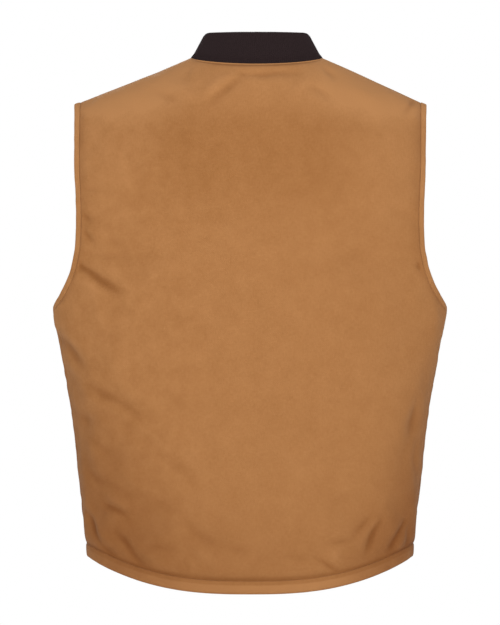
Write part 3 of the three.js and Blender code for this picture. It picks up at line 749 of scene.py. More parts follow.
@dataclass(frozen=True)
class DuckCanvas(TwoTone):
    """Cotton duck: a heavy plain weave of uneven yarns, dyed in the piece and washed soft.

    The uneven yarns give the eye short dull streaks both ways, and the fibres scatter light, so the
    cloth has no gloss, only a faint bloom where it turns away.
    """

    name: str = "cotton_duck_woven"
    deep: str = "#966335"
    pale: str = "#B27D4D"
    # the colour of the painted shade
    painted_shade: str = "#733F17"
    bloom: str = "#E8C9A0"
    yarn_pitch: float = 1.3  # real yarns lie 0.65 mm apart, drawn twice as coarse so that they show
    slub_width: float = 1.3
    slub_length: float = 7.0
    fleck_width: float = 3.4
    fleck_length: float = 4.2
    fade_size: float = 38.0  # how far the dye stays even before it drifts
    mottle_size: float = 17.0  # the size of the patches that washing leaves
    relief: float = 0.2
    base_tone: float = -0.25
    yarn_tone: float = 0.35
    weave_tone: float = 0.05
    weave_height: float = 0.3
    painted_relief_tone: float = 0.4  # how much paler a ridge is painted as a highlight, and darker a crease as shade
    crease_shade: float = 0.42  # how dark the painted shade in a crease is
    mottled: Zone = Zone(ACROSS, 0.0, 0.15, 0.35, 0.75)  # the wearer's left is more mottled
    shoulder_highlight_out: Zone = Zone(ACROSS, 0.05, 0.17, 0.5, 1.5, mirrored=True)  # painted highlight on the shoulders
    shoulder_up: Zone = Zone(UP, -0.1, -0.025, 0.0, 1.0)
    blade_shade_out: Zone = Zone(ACROSS, 0.08, 0.2, -0.28, 0.15, mirrored=True)  # painted shade between the blades, a faint painted highlight beyond them
    blade_up: Zone = Zone(UP, -0.25, -0.14, 0.0, 1.0)
    left_side: Zone = Zone((-0.95, 0.0, 1.0), -0.56, -0.8, 0.0, 0.46)  # painted shade, darker low down at the sides
    left_side_out: Zone = Zone(ACROSS, 0.05, 0.19, 0.3, 1.0, mirrored=True)
    right_side: Zone = Zone((2.6, 0.0, 1.0), -0.92, -1.25, 0.0, 0.6)
    # painted shade, darker towards the hem
    above_hem: Zone = Zone(UP, -0.56, -0.67, 0.0, 0.12)

    def fill(self, tree: bpy.types.NodeTree, shader: bpy.types.Node) -> None:
        """Gives a shader the look of woven duck, with painted highlights and painted shade in its colour."""
        place = add_node(tree, "ShaderNodeUVMap", uv_map=CLOTH_UV)
        where = add_node(tree, "ShaderNodeTexCoord").outputs["Object"]
        wear = add_node(tree, "ShaderNodeAttribute", attribute_name=PAINTED_SHADING).outputs["Fac"]
        warp = self.stretched_noise(tree, place, self.slub_width, self.slub_length, 2.0)
        weft = self.stretched_noise(tree, place, self.slub_length, self.slub_width, 2.0)
        fleck = self.stretched_noise(tree, place, self.fleck_width, self.fleck_length, 2.0)
        spread = {"Vector": where, "Scale": 1.0 / (self.fade_size * MM), "Detail": 4.0}
        fade = add_node(tree, "ShaderNodeTexNoise", spread)
        patches = {"Vector": where, "Scale": 1.0 / (self.mottle_size * MM), "Detail": 3.0}
        mottle = add_node(tree, "ShaderNodeTexNoise", patches)
        mottle = add_node(tree, "ShaderNodeMath", (mottle, 0.5), operation="SUBTRACT")
        yarns = add_node(tree, "ShaderNodeMath", (warp, weft), operation="ADD")
        weave = self.weave(tree, place, self.yarn_pitch)
        terms = (
            (yarns, self.yarn_tone),
            (fleck, self.yarn_tone),
            (mottle, self.mottled.value_at(tree, where)),
            (fade, self.yarn_tone),
            # painted highlight on ridges and shoulders, painted shade in creases and between the blades
            (wear, self.painted_relief_tone),
            (self.shoulder_highlight_out.value_at(tree, where), self.shoulder_up.value_at(tree, where)),
            (self.blade_shade_out.value_at(tree, where), self.blade_up.value_at(tree, where)),
            (weave, self.weave_tone),
        )
        tone: Any = self.base_tone
        for source, weight in terms:
            tone = add_node(tree, "ShaderNodeMath", (source, weight, tone), operation="MULTIPLY_ADD")
        height = add_node(tree, "ShaderNodeMath", (weave, self.weave_height, yarns), operation="MULTIPLY_ADD")
        ends = {6: linear(self.deep), 7: linear(self.pale)}
        dyed = add_node(tree, "ShaderNodeMix", {0: tone, **ends}, data_type="RGBA").outputs[2]
        # mixes in the colour of the painted shade, low at the sides, above the hem and in creases
        painted_light = {0: self.shade_strength(tree, where, fade, wear), 6: dyed, 7: linear(self.painted_shade)}
        colour = add_node(tree, "ShaderNodeMix", painted_light, data_type="RGBA")
        tree.links.new(colour.outputs[2], shader.inputs["Base Color"])
        bump = add_node(tree, "ShaderNodeBump", {"Height": height, "Distance": self.relief * MM})
        tree.links.new(bump.outputs[0], shader.inputs["Normal"])
        shader.inputs["Roughness"].default_value = 0.9
        shader.inputs["Specular IOR Level"].default_value = 0.2
        shader.inputs["Sheen Weight"].default_value = 0.1
        shader.inputs["Sheen Roughness"].default_value = 0.5
        shader.inputs["Sheen Tint"].default_value = linear(self.bloom)

    def shade_strength(self, tree: bpy.types.NodeTree, where: Any, fade: Any, wear: Any) -> Any:
        """Adds the strength of the painted shade: low down at the sides, above the hem, and in creases.

        Args:
            tree: the material's tree.
            where: the socket of the place on the vest.
            fade: the node of the drifting dye, which makes the painted shade uneven.
            wear: the socket of the painted light and shade, below 0 in creases.

        Returns:
            The node of the painted shade's strength.
        """
        left, left_out, right, low = (
            zone.value_at(tree, where)
            for zone in (self.left_side, self.left_side_out, self.right_side, self.above_hem)
        )
        painted_shade = add_node(tree, "ShaderNodeMath", (left, left_out, right), operation="MULTIPLY_ADD")
        painted_shade = add_node(tree, "ShaderNodeMath", (painted_shade, low), operation="ADD")
        uneven = add_node(tree, "ShaderNodeMath", (fade, 0.5), operation="ADD")
        crease = add_node(tree, "ShaderNodeMath", (wear, -self.crease_shade), operation="MULTIPLY")
        crease = add_node(tree, "ShaderNodeMath", (crease, 0.0), operation="MAXIMUM")
        return add_node(tree, "ShaderNodeMath", (painted_shade, uneven, crease), operation="MULTIPLY_ADD")


@dataclass(frozen=True)
class LiningTaffeta(TwoTone):
    """Plain woven taffeta lining: fine even yarns with a slight soft gloss."""

    name: str = "lining_taffeta"
    deep: str = "#4A3728"
    pale: str = "#5B4635"
    yarn_pitch: float = 0.9  # real yarns lie 0.3 mm apart, drawn coarser so that they show
    weave_tone: float = 0.15
    drift_width: float = 30.0
    drift_length: float = 45.0

    def fill(self, tree: bpy.types.NodeTree, shader: bpy.types.Node) -> None:
        """Gives a shader the look of taffeta."""
        place = add_node(tree, "ShaderNodeUVMap", uv_map=CLOTH_UV)
        weave = self.weave(tree, place, self.yarn_pitch)
        drift = self.stretched_noise(tree, place, self.drift_width, self.drift_length, 2.0)
        tone = add_node(tree, "ShaderNodeMath", (weave, self.weave_tone, drift), operation="MULTIPLY_ADD")
        self.colour_and_raise(tree, shader, tone, weave, 0.05)
        shader.inputs["Roughness"].default_value = 0.55
        shader.inputs["Specular IOR Level"].default_value = 0.35


@dataclass(frozen=True)
class RibKnit(TwoTone):
    """Rib knit of brushed yarn: rows of small loops with a dull fuzzy surface."""

    name: str = "rib_knit_brushed"
    deep: str = "#1A1213"
    pale: str = "#302324"
    bloom: str = "#8C7078"
    loop_height: float = 1.6  # real loops are 0.8 mm tall, drawn twice as tall so that they show
    loop_tone: float = 0.12
    loop_relief: float = 0.5
    fuzz_width: float = 0.9
    fuzz_length: float = 2.4

    def fill(self, tree: bpy.types.NodeTree, shader: bpy.types.Node) -> None:
        """Gives a shader the look of rib knit."""
        place = add_node(tree, "ShaderNodeUVMap", uv_map=CLOTH_UV)
        loops = self.weave(tree, place, self.loop_height)
        fuzz = self.stretched_noise(tree, place, self.fuzz_width, self.fuzz_length, 3.0)
        tone, height = (
            add_node(tree, "ShaderNodeMath", (loops, weight, fuzz), operation="MULTIPLY_ADD")
            for weight in (self.loop_tone, self.loop_relief)
        )
        self.colour_and_raise(tree, shader, tone, height, 0.2)
        shader.inputs["Roughness"].default_value = 0.95
        shader.inputs["Specular IOR Level"].default_value = 0.15
        shader.inputs["Sheen Weight"].default_value = 0.08
        shader.inputs["Sheen Roughness"].default_value = 0.4
        shader.inputs["Sheen Tint"].default_value = linear(self.bloom)


@dataclass(frozen=True)
class SewingThread(TwoTone):
    """Twisted polyester thread in the colour of the duck, a little glossier than the cloth."""

    name: str = "sewing_thread_twisted"
    deep: str = "#7F5028"
    pale: str = "#A06C3C"
    twist: float = 0.8

    def fill(self, tree: bpy.types.NodeTree, shader: bpy.types.Node) -> None:
        """Gives a shader the look of twisted thread."""
        where = add_node(tree, "ShaderNodeTexCoord").outputs["Object"]
        spread = {"Vector": where, "Scale": 1.0 / (self.twist * MM), "Detail": 2.0}
        noise = add_node(tree, "ShaderNodeTexNoise", spread)
        self.colour_and_raise(tree, shader, noise, noise, 0.1)
        shader.inputs["Roughness"].default_value = 0.6


@dataclass(frozen=True)
class ZipTape(TwoTone):
    """Zip tape: a tight twill whose diagonal lines run down each half."""

    name: str = "zip_tape_twill"
    deep: str = "#3A281B"
    pale: str = "#54402E"
    rib: float = 0.9  # real twill lines lie 0.5 mm apart, drawn coarser so that they show

    def fill(self, tree: bpy.types.NodeTree, shader: bpy.types.Node) -> None:
        """Gives a shader the look of twill tape."""
        place = add_node(tree, "ShaderNodeUVMap", uv_map=CLOTH_UV)
        parts = add_node(tree, "ShaderNodeSeparateXYZ", [place]).outputs
        out = add_node(tree, "ShaderNodeMath", [parts[0]], operation="ABSOLUTE")
        along = add_node(tree, "ShaderNodeMath", (out, parts[1]), operation="ADD")
        turns = 2 * math.pi / (self.rib * MM)
        angle = add_node(tree, "ShaderNodeMath", (along, turns), operation="MULTIPLY")
        lines = add_node(tree, "ShaderNodeMath", [angle], operation="SINE")
        tone = add_node(tree, "ShaderNodeMath", (lines, 0.4, 0.5), operation="MULTIPLY_ADD")
        self.colour_and_raise(tree, shader, tone, lines, 0.1)
        shader.inputs["Roughness"].default_value = 0.85


@dataclass(frozen=True)
class AgedBrass(TwoTone):
    """Stamped brass, dulled by handling: brighter where it is rubbed and browner in its dips."""

    name: str = "brass_stamped_aged"
    deep: str = "#7A5B30"
    pale: str = "#C9A467"
    grain: float = 2.5
    gloss_drift: float = 0.25
    gloss_floor: float = 0.22

    def fill(self, tree: bpy.types.NodeTree, shader: bpy.types.Node) -> None:
        """Gives a shader the look of aged brass."""
        where = add_node(tree, "ShaderNodeTexCoord").outputs["Object"]
        spread = {"Vector": where, "Scale": 1.0 / (self.grain * MM), "Detail": 4.0}
        noise = add_node(tree, "ShaderNodeTexNoise", spread)
        self.colour_and_raise(tree, shader, noise, noise, 0.04)
        dull = (noise, self.gloss_drift, self.gloss_floor)
        roughness = add_node(tree, "ShaderNodeMath", dull, operation="MULTIPLY_ADD")
        tree.links.new(roughness.outputs[0], shader.inputs["Roughness"])
        shader.inputs["Metallic"].default_value = 1.0


@dataclass(frozen=True)
class StudioFloor(Finish):
    """A matt painted studio floor, pale and even."""

    name: str = "floor_paint_matt"
    colour: str = "#F1F0EE"
    glow: float = 0.32  # stands in for the light that a white room throws back and forth

    def fill(self, tree: bpy.types.NodeTree, shader: bpy.types.Node) -> None:
        """Gives a shader the look of matt paint."""
        shader.inputs["Base Color"].default_value = linear(self.colour)
        shader.inputs["Roughness"].default_value = 0.8
        shader.inputs["Emission Color"].default_value = linear(self.colour)
        shader.inputs["Emission Strength"].default_value = self.glow


def placed(name: str, data: Any) -> bpy.types.Object:
    """Makes an object of some data and links it to the scene."""
    made = bpy.data.objects.new(name, data)
    bpy.context.scene.collection.objects.link(made)
    return made


def mesh_of(work: bmesh.types.BMesh, name: str) -> bpy.types.Mesh:
    """Ends the work on a mesh and keeps its result under a name."""
    mesh = bpy.data.meshes.new(name)
    work.to_mesh(mesh)
    work.free()
    return mesh


def mesh_object(
    name: str, points: Array, faces: Sequence[Sequence[int]], cloth: Array | None = None
) -> bpy.types.Object:
    """Makes a smooth closed mesh object at the origin from points in millimetres.

    Args:
        name: the object's name.
        points: the vertices.
        faces: the vertex numbers of each face.
        cloth: where each vertex lies on the flat cloth, in millimetres.

    Returns:
        The object, linked to the scene, with its faces turned outwards.
    """
    mesh = bpy.data.meshes.new(name)
    mesh.from_pydata((points * MM).tolist(), [], [list(map(int, face)) for face in faces])
    if cloth is not None:
        corners = np.zeros(len(mesh.loops), np.int32)
        mesh.loops.foreach_get("vertex_index", corners)
        layer = mesh.uv_layers.new(name=CLOTH_UV)
        layer.data.foreach_set("uv", (cloth[corners] * MM).astype(np.float32).ravel())
    mesh.polygons.foreach_set("use_smooth", np.ones(len(mesh.polygons), bool))
    work = bmesh.new()
    work.from_mesh(mesh)
    bmesh.ops.recalc_face_normals(work, faces=work.faces)
    work.to_mesh(mesh)
    work.free()
    return placed(name, mesh)


def grid_faces(rows: int, columns: int, first: int = 0) -> Array:
    """Returns the four vertex numbers of each face of a grid whose vertices start at a number."""
    numbers = first + np.arange(rows * columns).reshape(rows, columns)
    corners = (numbers[:-1, :-1], numbers[:-1, 1:], numbers[1:, 1:], numbers[1:, :-1])
    return np.stack([c.ravel() for c in corners], axis=-1)


def tube_faces(rings: int, size: int, loop: bool) -> list[list[int]]:
    """Returns the faces that join rings of points one after another, with its ends closed.

    Args:
        rings: how many rings there are.
        size: how many points each ring has.
        loop: True where the last ring joins the first.

    Returns:
        The vertex numbers of each face.
    """
    numbers = np.arange(rings * size).reshape(rings, size)
    here = numbers if loop else numbers[:-1]
    following = np.roll(numbers, -1, axis=0)[: len(here)]
    corners = (here, np.roll(here, -1, axis=1), np.roll(following, -1, axis=1), following)
    faces = np.stack([c.ravel() for c in corners], axis=-1).tolist()
    if not loop:
        faces += [numbers[0].tolist(), numbers[-1].tolist()]
    return faces


def tube_object(
    name: str, rings: Array, along: Array, round_it: Array, loop: bool = False
) -> bpy.types.Object:
    """Makes a closed tube of cloth from rings of points.

    Args:
        name: the object's name.
        rings: the rings of points, one after another.
        along: how far along the tube each ring lies.
        round_it: how far round a ring each of its points lies.
        loop: True where the last ring joins the first.

    Returns:
        The object.
    """
    count, size = rings.shape[:2]
    cloth = np.stack([np.repeat(along, size), np.tile(round_it, count)], axis=-1)
    return mesh_object(name, rings.reshape(-1, 3), tube_faces(count, size, loop), cloth)


def mark(piece: bpy.types.Object, name: str, values: Array) -> None:
    """Keeps a number for each of a piece's vertices as a named attribute."""
    layer = piece.data.attributes.new(name, "FLOAT", "POINT")
    layer.data.foreach_set("value", values.astype(np.float32))


def dress(piece: bpy.types.Object, slot: str, *finishes: Finish) -> bpy.types.Object:
    """Gives a piece its materials and lets it ride on the body."""
    for finish in finishes:
        piece.data.materials.append(finish.material())
    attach(piece, BODY)
    return piece


@dataclass(frozen=True)
class ClothSettings:
    """How a panel's cloth is let settle between its seams."""

    frames: int = 20
    step: int = 3  # every so many rows and columns of the panel's grid make one of the cloth's
    growth: float = 0.006
    pressure: float = 1.5
    stiffness: float = 12.0
    bending: float = 4.0
    cap: float = 4.0  # how far a point may move in millimetres


@dataclass
class PaddedPanel:
    """A panel of duck over wadding and inner cloth, thin at its seams and full between them."""

    node: str
    sheet: Sheet
    folds: tuple[Fold, ...]
    form: VestForm
    steps: GridSteps
    seed: int
    wall: float = 7.0
    seam_wall: float = 4.5
    crown_reach: float = 16.0
    groove_depth: float = 0.7
    groove_width: float = 1.5
    pucker: float = 0.5
    pucker_pitch: float = 9.0
    pucker_reach: float = 16.0
    held_reach: float = 8.0  # how near to a seam the folds fade
    swell_reach: float = 20.0
    hem_swell: float = 4.0  # how far the cloth bellies out above the hem in the middle
    hem_swell_at_side: float = 7.0
    belly_rise: float = 20.0
    belly_reach: float = 110.0
    slack: float = 1.1  # the size of the soft dents all over
    slack_pitch: float = 48.0
    crinkle: float = 0.42  # the height of the small uneven creases all over
    crinkle_pitch: float = 11.0
    lip: float = 0.9  # the ridge beside the neck seam, and the dip beyond it
    lip_place: float = 2.2
    lip_width: float = 1.5
    dip_place: float = 6.0
    dip_width: float = 2.0
    rim_out: float = 0.3
    fold_bend: float = 2.5  # how far the folds wander from straight lines
    fold_bend_pitch: float = 26.0
    fold_edge: float = 0.3  # how high the soft ridges beside a fold are, as a share of it
    fold_edge_reach: float = 2.4
    shading_height: float = 2.8  # a ridge or crease of this many millimetres gets the full painted highlight or shade
    shading_rounds: int = 70
    # painted shade beside the side seams, above the hem and in the dip below the neck
    edge_soil: float = 0.35
    edge_soil_reach: float = 13.0
    hem_soil: float = 0.65
    hem_soil_reach: float = 4.0
    neck_shade: float = 0.9
    neck_shade_place: float = 5.6
    neck_shade_width: float = 2.6
    fill: float = 0.35
    side_stitch: float | None = None  # inset of the stitching along the side seam
    middle_stitch: float | None = None  # inset of the stitching along the zip
    shoulder_stitch: float | None = None  # inset of the stitching behind the shoulder seam
    cloth_settings: ClothSettings = ClothSettings()
    outer: Array = field(init=False)

    @property
    def name(self) -> str:
        """The name of the panel's object."""
        return self.node + "_padded"

    @property
    def is_back(self) -> bool:
        """True for the back, which runs from side seam to side seam."""
        return self.sheet.side is Side.BACK

    def distances(self) -> dict[str, Array]:
        """Returns each point's distance from the side, middle, hem and top edges."""
        points = self.sheet.points
        across, up = run_along(points, 1), run_along(points, 0)
        from_last = across[:, -1:] - across
        side = np.minimum(across, from_last) if self.is_back else from_last
        above_hem = np.maximum(up - self.form.hem_lap, 0.0)
        return {"side": side, "middle": across, "hem": above_hem, "top": up[-1:] - up}

    def edge_names(self) -> tuple[str, ...]:
        """Returns the edges at which this panel ends in a seam."""
        return ("side", "hem", "top") if self.is_back else ("side", "middle", "hem", "top")

    def thickness(self, away: dict[str, Array]) -> Array:
        """Returns the wall's thickness, pressed flat at the seams and rows of stitching."""
        crown = np.ones_like(away["side"])
        for name in self.edge_names():
            crown = crown * ease(away[name] / self.crown_reach) ** 0.5
        thick = blend(self.seam_wall, self.wall, crown)
        for name in self.edge_names():
            thick = thick - self.groove(away[name])
        under = np.arange(len(crown))[:, None] <= self.steps.below_underarm
        on_shoulder = self.on_shoulder()
        top = away["top"]
        lip = bell(top, self.lip_width, self.lip_place) - bell(top, self.dip_width, self.dip_place)
        thick = thick + np.where(on_shoulder, 0.0, self.lip * lip)
        for name, inset, sewn in (
            ("side", self.side_stitch, under),
            ("middle", self.middle_stitch, True),
            ("top", self.shoulder_stitch, on_shoulder),
        ):
            if inset:
                thick = thick - np.where(sewn, self.groove(away[name] - inset), 0.0)
        return thick

    def on_shoulder(self) -> Array:
        """Returns which columns end at a shoulder seam, and not at the neck."""
        middle = self.steps.columns if self.is_back else 0
        return (np.abs(np.arange(self.sheet.points.shape[1]) - middle) >= self.steps.neck)[None, :]

    def groove(self, distance: Array) -> Array:
        """Returns how deep the wall is pressed at a distance from a row of stitching."""
        return self.groove_depth * bell(distance, self.groove_width)

    def fold_rise(self) -> Array:
        """Returns how far the folds lift the cloth, with each hollow between two soft ridges."""
        chest, length = self.form.chest_half_width, self.form.body_length
        x = self.sheet.points[..., 0]
        place = np.stack([x if self.is_back else np.abs(x), -self.sheet.points[..., 2]], axis=-1)
        bend = [ripple(place[..., 1 - k] + 90.0, self.fold_bend_pitch, self.seed + 50 + k) for k in (0, 1)]
        place = place + self.fold_bend * np.stack(bend, axis=-1)
        total = np.zeros(place.shape[:2])
        for fold in self.folds:
            start = np.array([fold.across * chest, fold.drop * length])
            run = np.array([fold.to_across * chest, fold.to_drop * length]) - start
            along = np.clip((place - start) @ run / (run @ run), 0.0, 1.0)
            width = fold.width * (0.85 + 0.75 * along)
            away = np.linalg.norm(place - start - along[..., None] * run, axis=-1) / width
            shape = bell(away, 1.0) - self.fold_edge * bell(away, self.fold_edge_reach)
            total += fold.rise * shape * np.sin(math.pi * (0.12 + 0.88 * along))
        return total

    def swell(self, away: dict[str, Array]) -> Array:
        """Returns how far the padding bellies out above the hem and dents all over."""
        cloth, hem = self.sheet.cloth, away["hem"]
        across = np.abs(self.sheet.points[..., 0]) / self.form.chest_half_width
        size = blend(self.hem_swell, self.hem_swell_at_side, ease((across - 0.3) / 0.5))
        belly = size * (1.0 - np.exp(-hem / self.belly_rise)) * bell(hem, self.belly_reach)
        turned = cloth @ BIAS
        dents = np.zeros_like(hem)
        for number, (place, finer, shift) in enumerate(((turned, 1.0, 0.0), (cloth, 1.7, 13.0))):
            pitch = self.slack_pitch / finer
            wave = ripple(place[..., 0] + shift, pitch, self.seed + number)
            dents += wave * ripple(place[..., 1] - shift, pitch, self.seed + number + 3) / finer
        creased = ripple(turned[..., 0] + 3.0 * dents, self.crinkle_pitch, self.seed + 8)
        creased = creased * ripple(turned[..., 1] + 200.0, self.crinkle_pitch * 2.2, self.seed + 9)
        creased = creased * blend(0.35, 1.0, ease((across - 0.25) / 0.5))
        return (belly + self.slack * dents) * ease((away["side"] - 4.0) / 40.0) + self.crinkle * creased

    def pucker_rise(self, away: dict[str, Array]) -> Array:
        """Returns the small ripples that the rows of stitching draw into the cloth beside them."""
        points = self.sheet.points
        total = np.zeros(points.shape[:2])
        lengths = {"side": run_along(points[:, -1], 0)[:, None], "hem": run_along(points[0], 0)[None, :]}
        for number, (name, length) in enumerate(lengths.items()):
            wave = ripple(length, self.pucker_pitch, self.seed + number)
            near = bell(away[name], self.pucker_reach) * ease(away[name] / 3.0)
            total = total + self.pucker * wave * near
        return total

    def settled(self) -> Array:
        """Lets the panel's cloth buckle between its seams in a cloth simulation.

        Returns:
            How far each point of the panel's grid moved outwards, in millimetres.
        """
        points = self.sheet.points
        how = self.cloth_settings
        coarse = points[:: how.step, :: how.step]
        normals = self.sheet.normals[:: how.step, :: how.step]
        rows, columns = coarse.shape[:2]
        flat = coarse.reshape(-1, 3)
        trial = mesh_object(self.name + "_trial", flat, grid_faces(rows, columns))
        held = trial.vertex_groups.new(name="held")
        numbers = np.arange(rows * columns).reshape(rows, columns)
        edge = np.concatenate([numbers[0], numbers[-1], numbers[:, 0], numbers[:, -1]])
        held.add(np.unique(edge).tolist(), 1.0, "REPLACE")
        cloth = trial.modifiers.new("cloth", "CLOTH")
        cloth.point_cache.frame_end = how.frames
        settings = cloth.settings
        settings.quality = 6
        settings.vertex_group_mass = "held"
        settings.tension_stiffness = settings.compression_stiffness = how.stiffness
        settings.shear_stiffness = how.stiffness / 2
        settings.bending_stiffness = how.bending
        settings.shrink_min = settings.shrink_max = -how.growth
        settings.use_pressure = True
        settings.uniform_pressure_force = how.pressure
        settings.effector_weights.gravity = 0.0
        scene = bpy.context.scene
        for number in range(1, how.frames + 1):
            scene.frame_set(number)
        shape = trial.evaluated_get(bpy.context.evaluated_depsgraph_get()).to_mesh()
        moved = np.zeros(len(flat) * 3)
        shape.vertices.foreach_get("co", moved)
        scene.frame_set(1)
        bpy.data.objects.remove(trial)
        out = np.sum((moved.reshape(coarse.shape) / MM - coarse) * normals, axis=-1)
        out = how.cap * np.tanh(out / how.cap)
        log.info("%s settled by %.1f to %.1f mm", self.name, out.min(), out.max())
        return self.refined(out, points.shape[:2], how.step)

    @staticmethod
    def refined(values: Array, shape: tuple[int, int], step: int) -> Array:
        """Spreads values from every so many grid points to all of them, on smooth curves."""
        rows, columns = (np.arange(n) / step for n in shape)
        across = np.array([np.interp(columns, np.arange(values.shape[1]), row) for row in values])
        full = np.array([np.interp(rows, np.arange(values.shape[0]), column) for column in across.T]).T
        return smoothed(full, step)

    def wear(self, rise: Array, away: dict[str, Array]) -> Array:
        """Returns the painted light: 1 on ridges painted pale as a highlight, -1 in creases painted dark as
        shade, and painted shade beside the side seams, above the hem and below the neck.
        """
        local = (rise - smoothed(rise, self.shading_rounds)) / self.shading_height
        local = np.tanh(local * np.minimum(np.abs(local) + 0.15, 1.0))
        edge = self.edge_soil * bell(away["side"], self.edge_soil_reach)
        hem = self.hem_soil * bell(away["hem"], self.hem_soil_reach)
        neck = self.neck_shade * bell(away["top"], self.neck_shade_width, self.neck_shade_place)
        return local - edge - hem - np.where(self.on_shoulder(), 0.0, neck)

    def closed_wall(self, middle: Array, half: Array) -> tuple[bpy.types.Object, Array]:
        """Makes the wall: its outer and inner faces, and a rounded rim that joins them.

        Args:
            middle: the grid of points midway through the wall.
            half: half the wall's thickness there.

        Returns:
            The object, and the number of the grid point that each of its vertices belongs to.
        """
        sheet = self.sheet
        rows, columns = middle.shape[:2]
        count = rows * columns
        numbers = np.arange(count).reshape(rows, columns)
        rim, inside = (
            np.concatenate([numbers[k], numbers[1:, -1 - k], numbers[-1 - k, -2::-1], numbers[-2:0:-1, k]])
            for k in (0, 1)
        )
        flat, facing = middle.reshape(-1, 3), sheet.normals.reshape(-1, 3)[rim]
        outward = flat[rim] - flat[inside]
        outward = unit(outward - np.sum(outward * facing, axis=-1, keepdims=True) * facing)
        inner = middle - sheet.normals * half
        rounding = flat[rim] + outward * self.rim_out
        points = np.concatenate([self.outer.reshape(-1, 3), inner.reshape(-1, 3), rounding])
        ring = 2 * count + np.arange(len(rim))
        after, ring_after = np.roll(rim, -1), np.roll(ring, -1)
        outer_faces, inner_faces = grid_faces(rows, columns), grid_faces(rows, columns, count)[:, ::-1]
        upper = np.stack([after, rim, ring, ring_after], axis=-1)
        lower = np.stack([ring_after, ring, rim + count, after + count], axis=-1)
        faces = np.concatenate([outer_faces, inner_faces, upper, lower])
        owner = np.concatenate([numbers.ravel(), numbers.ravel(), rim])
        piece = mesh_object(self.name, points, faces, sheet.cloth.reshape(-1, 2)[owner])
        lined = np.zeros(len(faces), np.int32)
        lined[len(outer_faces) : 2 * len(outer_faces)] = 1
        piece.data.polygons.foreach_set("material_index", lined)
        return piece, owner

    def build(self) -> bpy.types.Object:
        """Makes the panel as one closed wall and dresses it in duck with a plain inner cloth."""
        away = self.distances()
        nearest = np.minimum.reduce([away[name] for name in self.edge_names()])
        held = ease(nearest / self.held_reach)
        folds, settled = self.fold_rise() * held, self.settled() * held
        swollen = self.swell(away) * ease(nearest / self.swell_reach) ** 0.5
        rise = folds + settled + swollen + self.pucker_rise(away)
        half = self.thickness(away)[..., None] / 2
        middle = self.sheet.points + self.sheet.normals * rise[..., None]
        self.outer = middle + self.sheet.normals * half
        piece, owner = self.closed_wall(middle, half)
        # painted highlight on ridges, painted shade in creases and along the seams
        painted_light = self.wear(folds + 0.35 * (settled + swollen), away).ravel()[owner]
        painted_light[rise.size : 2 * rise.size] = 0.0
        mark(piece, PAINTED_SHADING, painted_light)
        dress(piece, "duck", DuckCanvas(), LiningTaffeta())
        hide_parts(self.node)
        log.info("%s: %d faces", self.name, len(piece.data.polygons))
        return piece

    def line_from_edge(self, name: str, inset: float, hand: Hand = Hand.LEFT) -> tuple[Array, Array]:
        """Finds a line on the panel's outer face at an inset from one of its edges.

        Args:
            name: side, middle or shoulder.
            inset: the distance from the edge.
            hand: the wearer's left or right end of the back.

        Returns:
            The line's points and the outward normals there.
        """
        grids = [self.outer, self.sheet.normals]
        if hand is Hand.RIGHT:
            grids = [grid[:, ::-1] for grid in grids]
        if name == "shoulder":
            grids = [np.swapaxes(grid[::-1, -self.steps.shoulder :], 0, 1) for grid in grids]
        elif name == "side":
            grids = [grid[: self.steps.below_underarm + 1, ::-1] for grid in grids]
        run = run_along(grids[0], 1)
        points, facing = (
            np.array([[np.interp(inset, r, part) for part in row.T] for r, row in zip(run, grid)])
            for grid in grids
        )
        return points, unit(facing)


@dataclass
class TurnedEdge:
    """A band of duck turned in and stitched down along a panel's edge."""

    node: str
    points: Array
    out: Array
    normals: Array
    height: float
    thickness: float
    loop: bool
    seed: int
    lap: float  # how far the band laps over its panel
    seam_gap: float = 0.4
    ripple_height: float = 0.35
    ripple_pitch: float = 11.0
    ripple_fade: float = 20.0
    painted_highlight: float = 2.2  # how pale the band is painted, as a highlight
    # painted shade along the band's outer fold
    lip_shade: float = 0.4

    def section(self) -> Array:
        """Returns the band's outline: shares of its height, and of its thickness, all round."""
        lap = -self.lap / self.height
        lapped = [(lap, 0.42), (lap * 0.9, 0.49), (lap * 0.5, 0.53)]
        plain = [(0.0, 0.55), (0.05, 0.56), (0.15, 0.56), (0.34, 0.56), (0.54, 0.56)]
        fold = [(0.74, 0.54), (0.9, 0.43), (0.98, 0.22)]
        upper = np.array(lapped + plain + fold)
        return np.concatenate([upper, [(1.0, 0.0)], upper[::-1] * (1.0, -1.0), [(lap, 0.0)]])

    def build(self) -> bpy.types.Object:
        """Makes the band along its line and dresses it in duck."""
        share, thick = self.section().T
        run = run_along(self.points, 0)
        wave = ripple(run, self.ripple_pitch, self.seed) * self.ripple_height
        if self.loop:
            wave = wave * ease(run / self.ripple_fade) * ease((run[-1] - run) / self.ripple_fade)
        reach = share * self.height
        swell = ease((reach + self.lap) / (self.lap + 0.5 * self.height))
        lift = (thick * self.thickness)[None, :] + wave[:, None] * swell[None, :]
        rings = self.points[:, None] + self.out[:, None] * (self.seam_gap + reach)[None, :, None]
        rings = rings + self.normals[:, None] * lift[..., None]
        piece = tube_object(self.node + "_turned", rings, run, run_along(rings[0], 0), self.loop)
        # painted highlight across the band, painted shade along its outer fold
        painted_light = self.painted_highlight * np.sin(math.pi * np.clip(share, 0.0, 1.0) ** 0.8)
        painted_light = painted_light - np.where(share > 0.95, self.lip_shade, 0.0)
        mark(piece, PAINTED_SHADING, np.tile(painted_light, len(run)))
        dress(piece, "duck", DuckCanvas())
        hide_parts(self.node)
        log.info("%s: %d faces", piece.name, len(piece.data.polygons))
        return piece

    def stitch_line(self, height: float) -> tuple[Array, Array]:
        """Returns the line between the band and its panel, raised onto the cloth, with its normals."""
        return self.points + self.out * (self.seam_gap / 2 - self.lap) + self.normals * height, self.normals


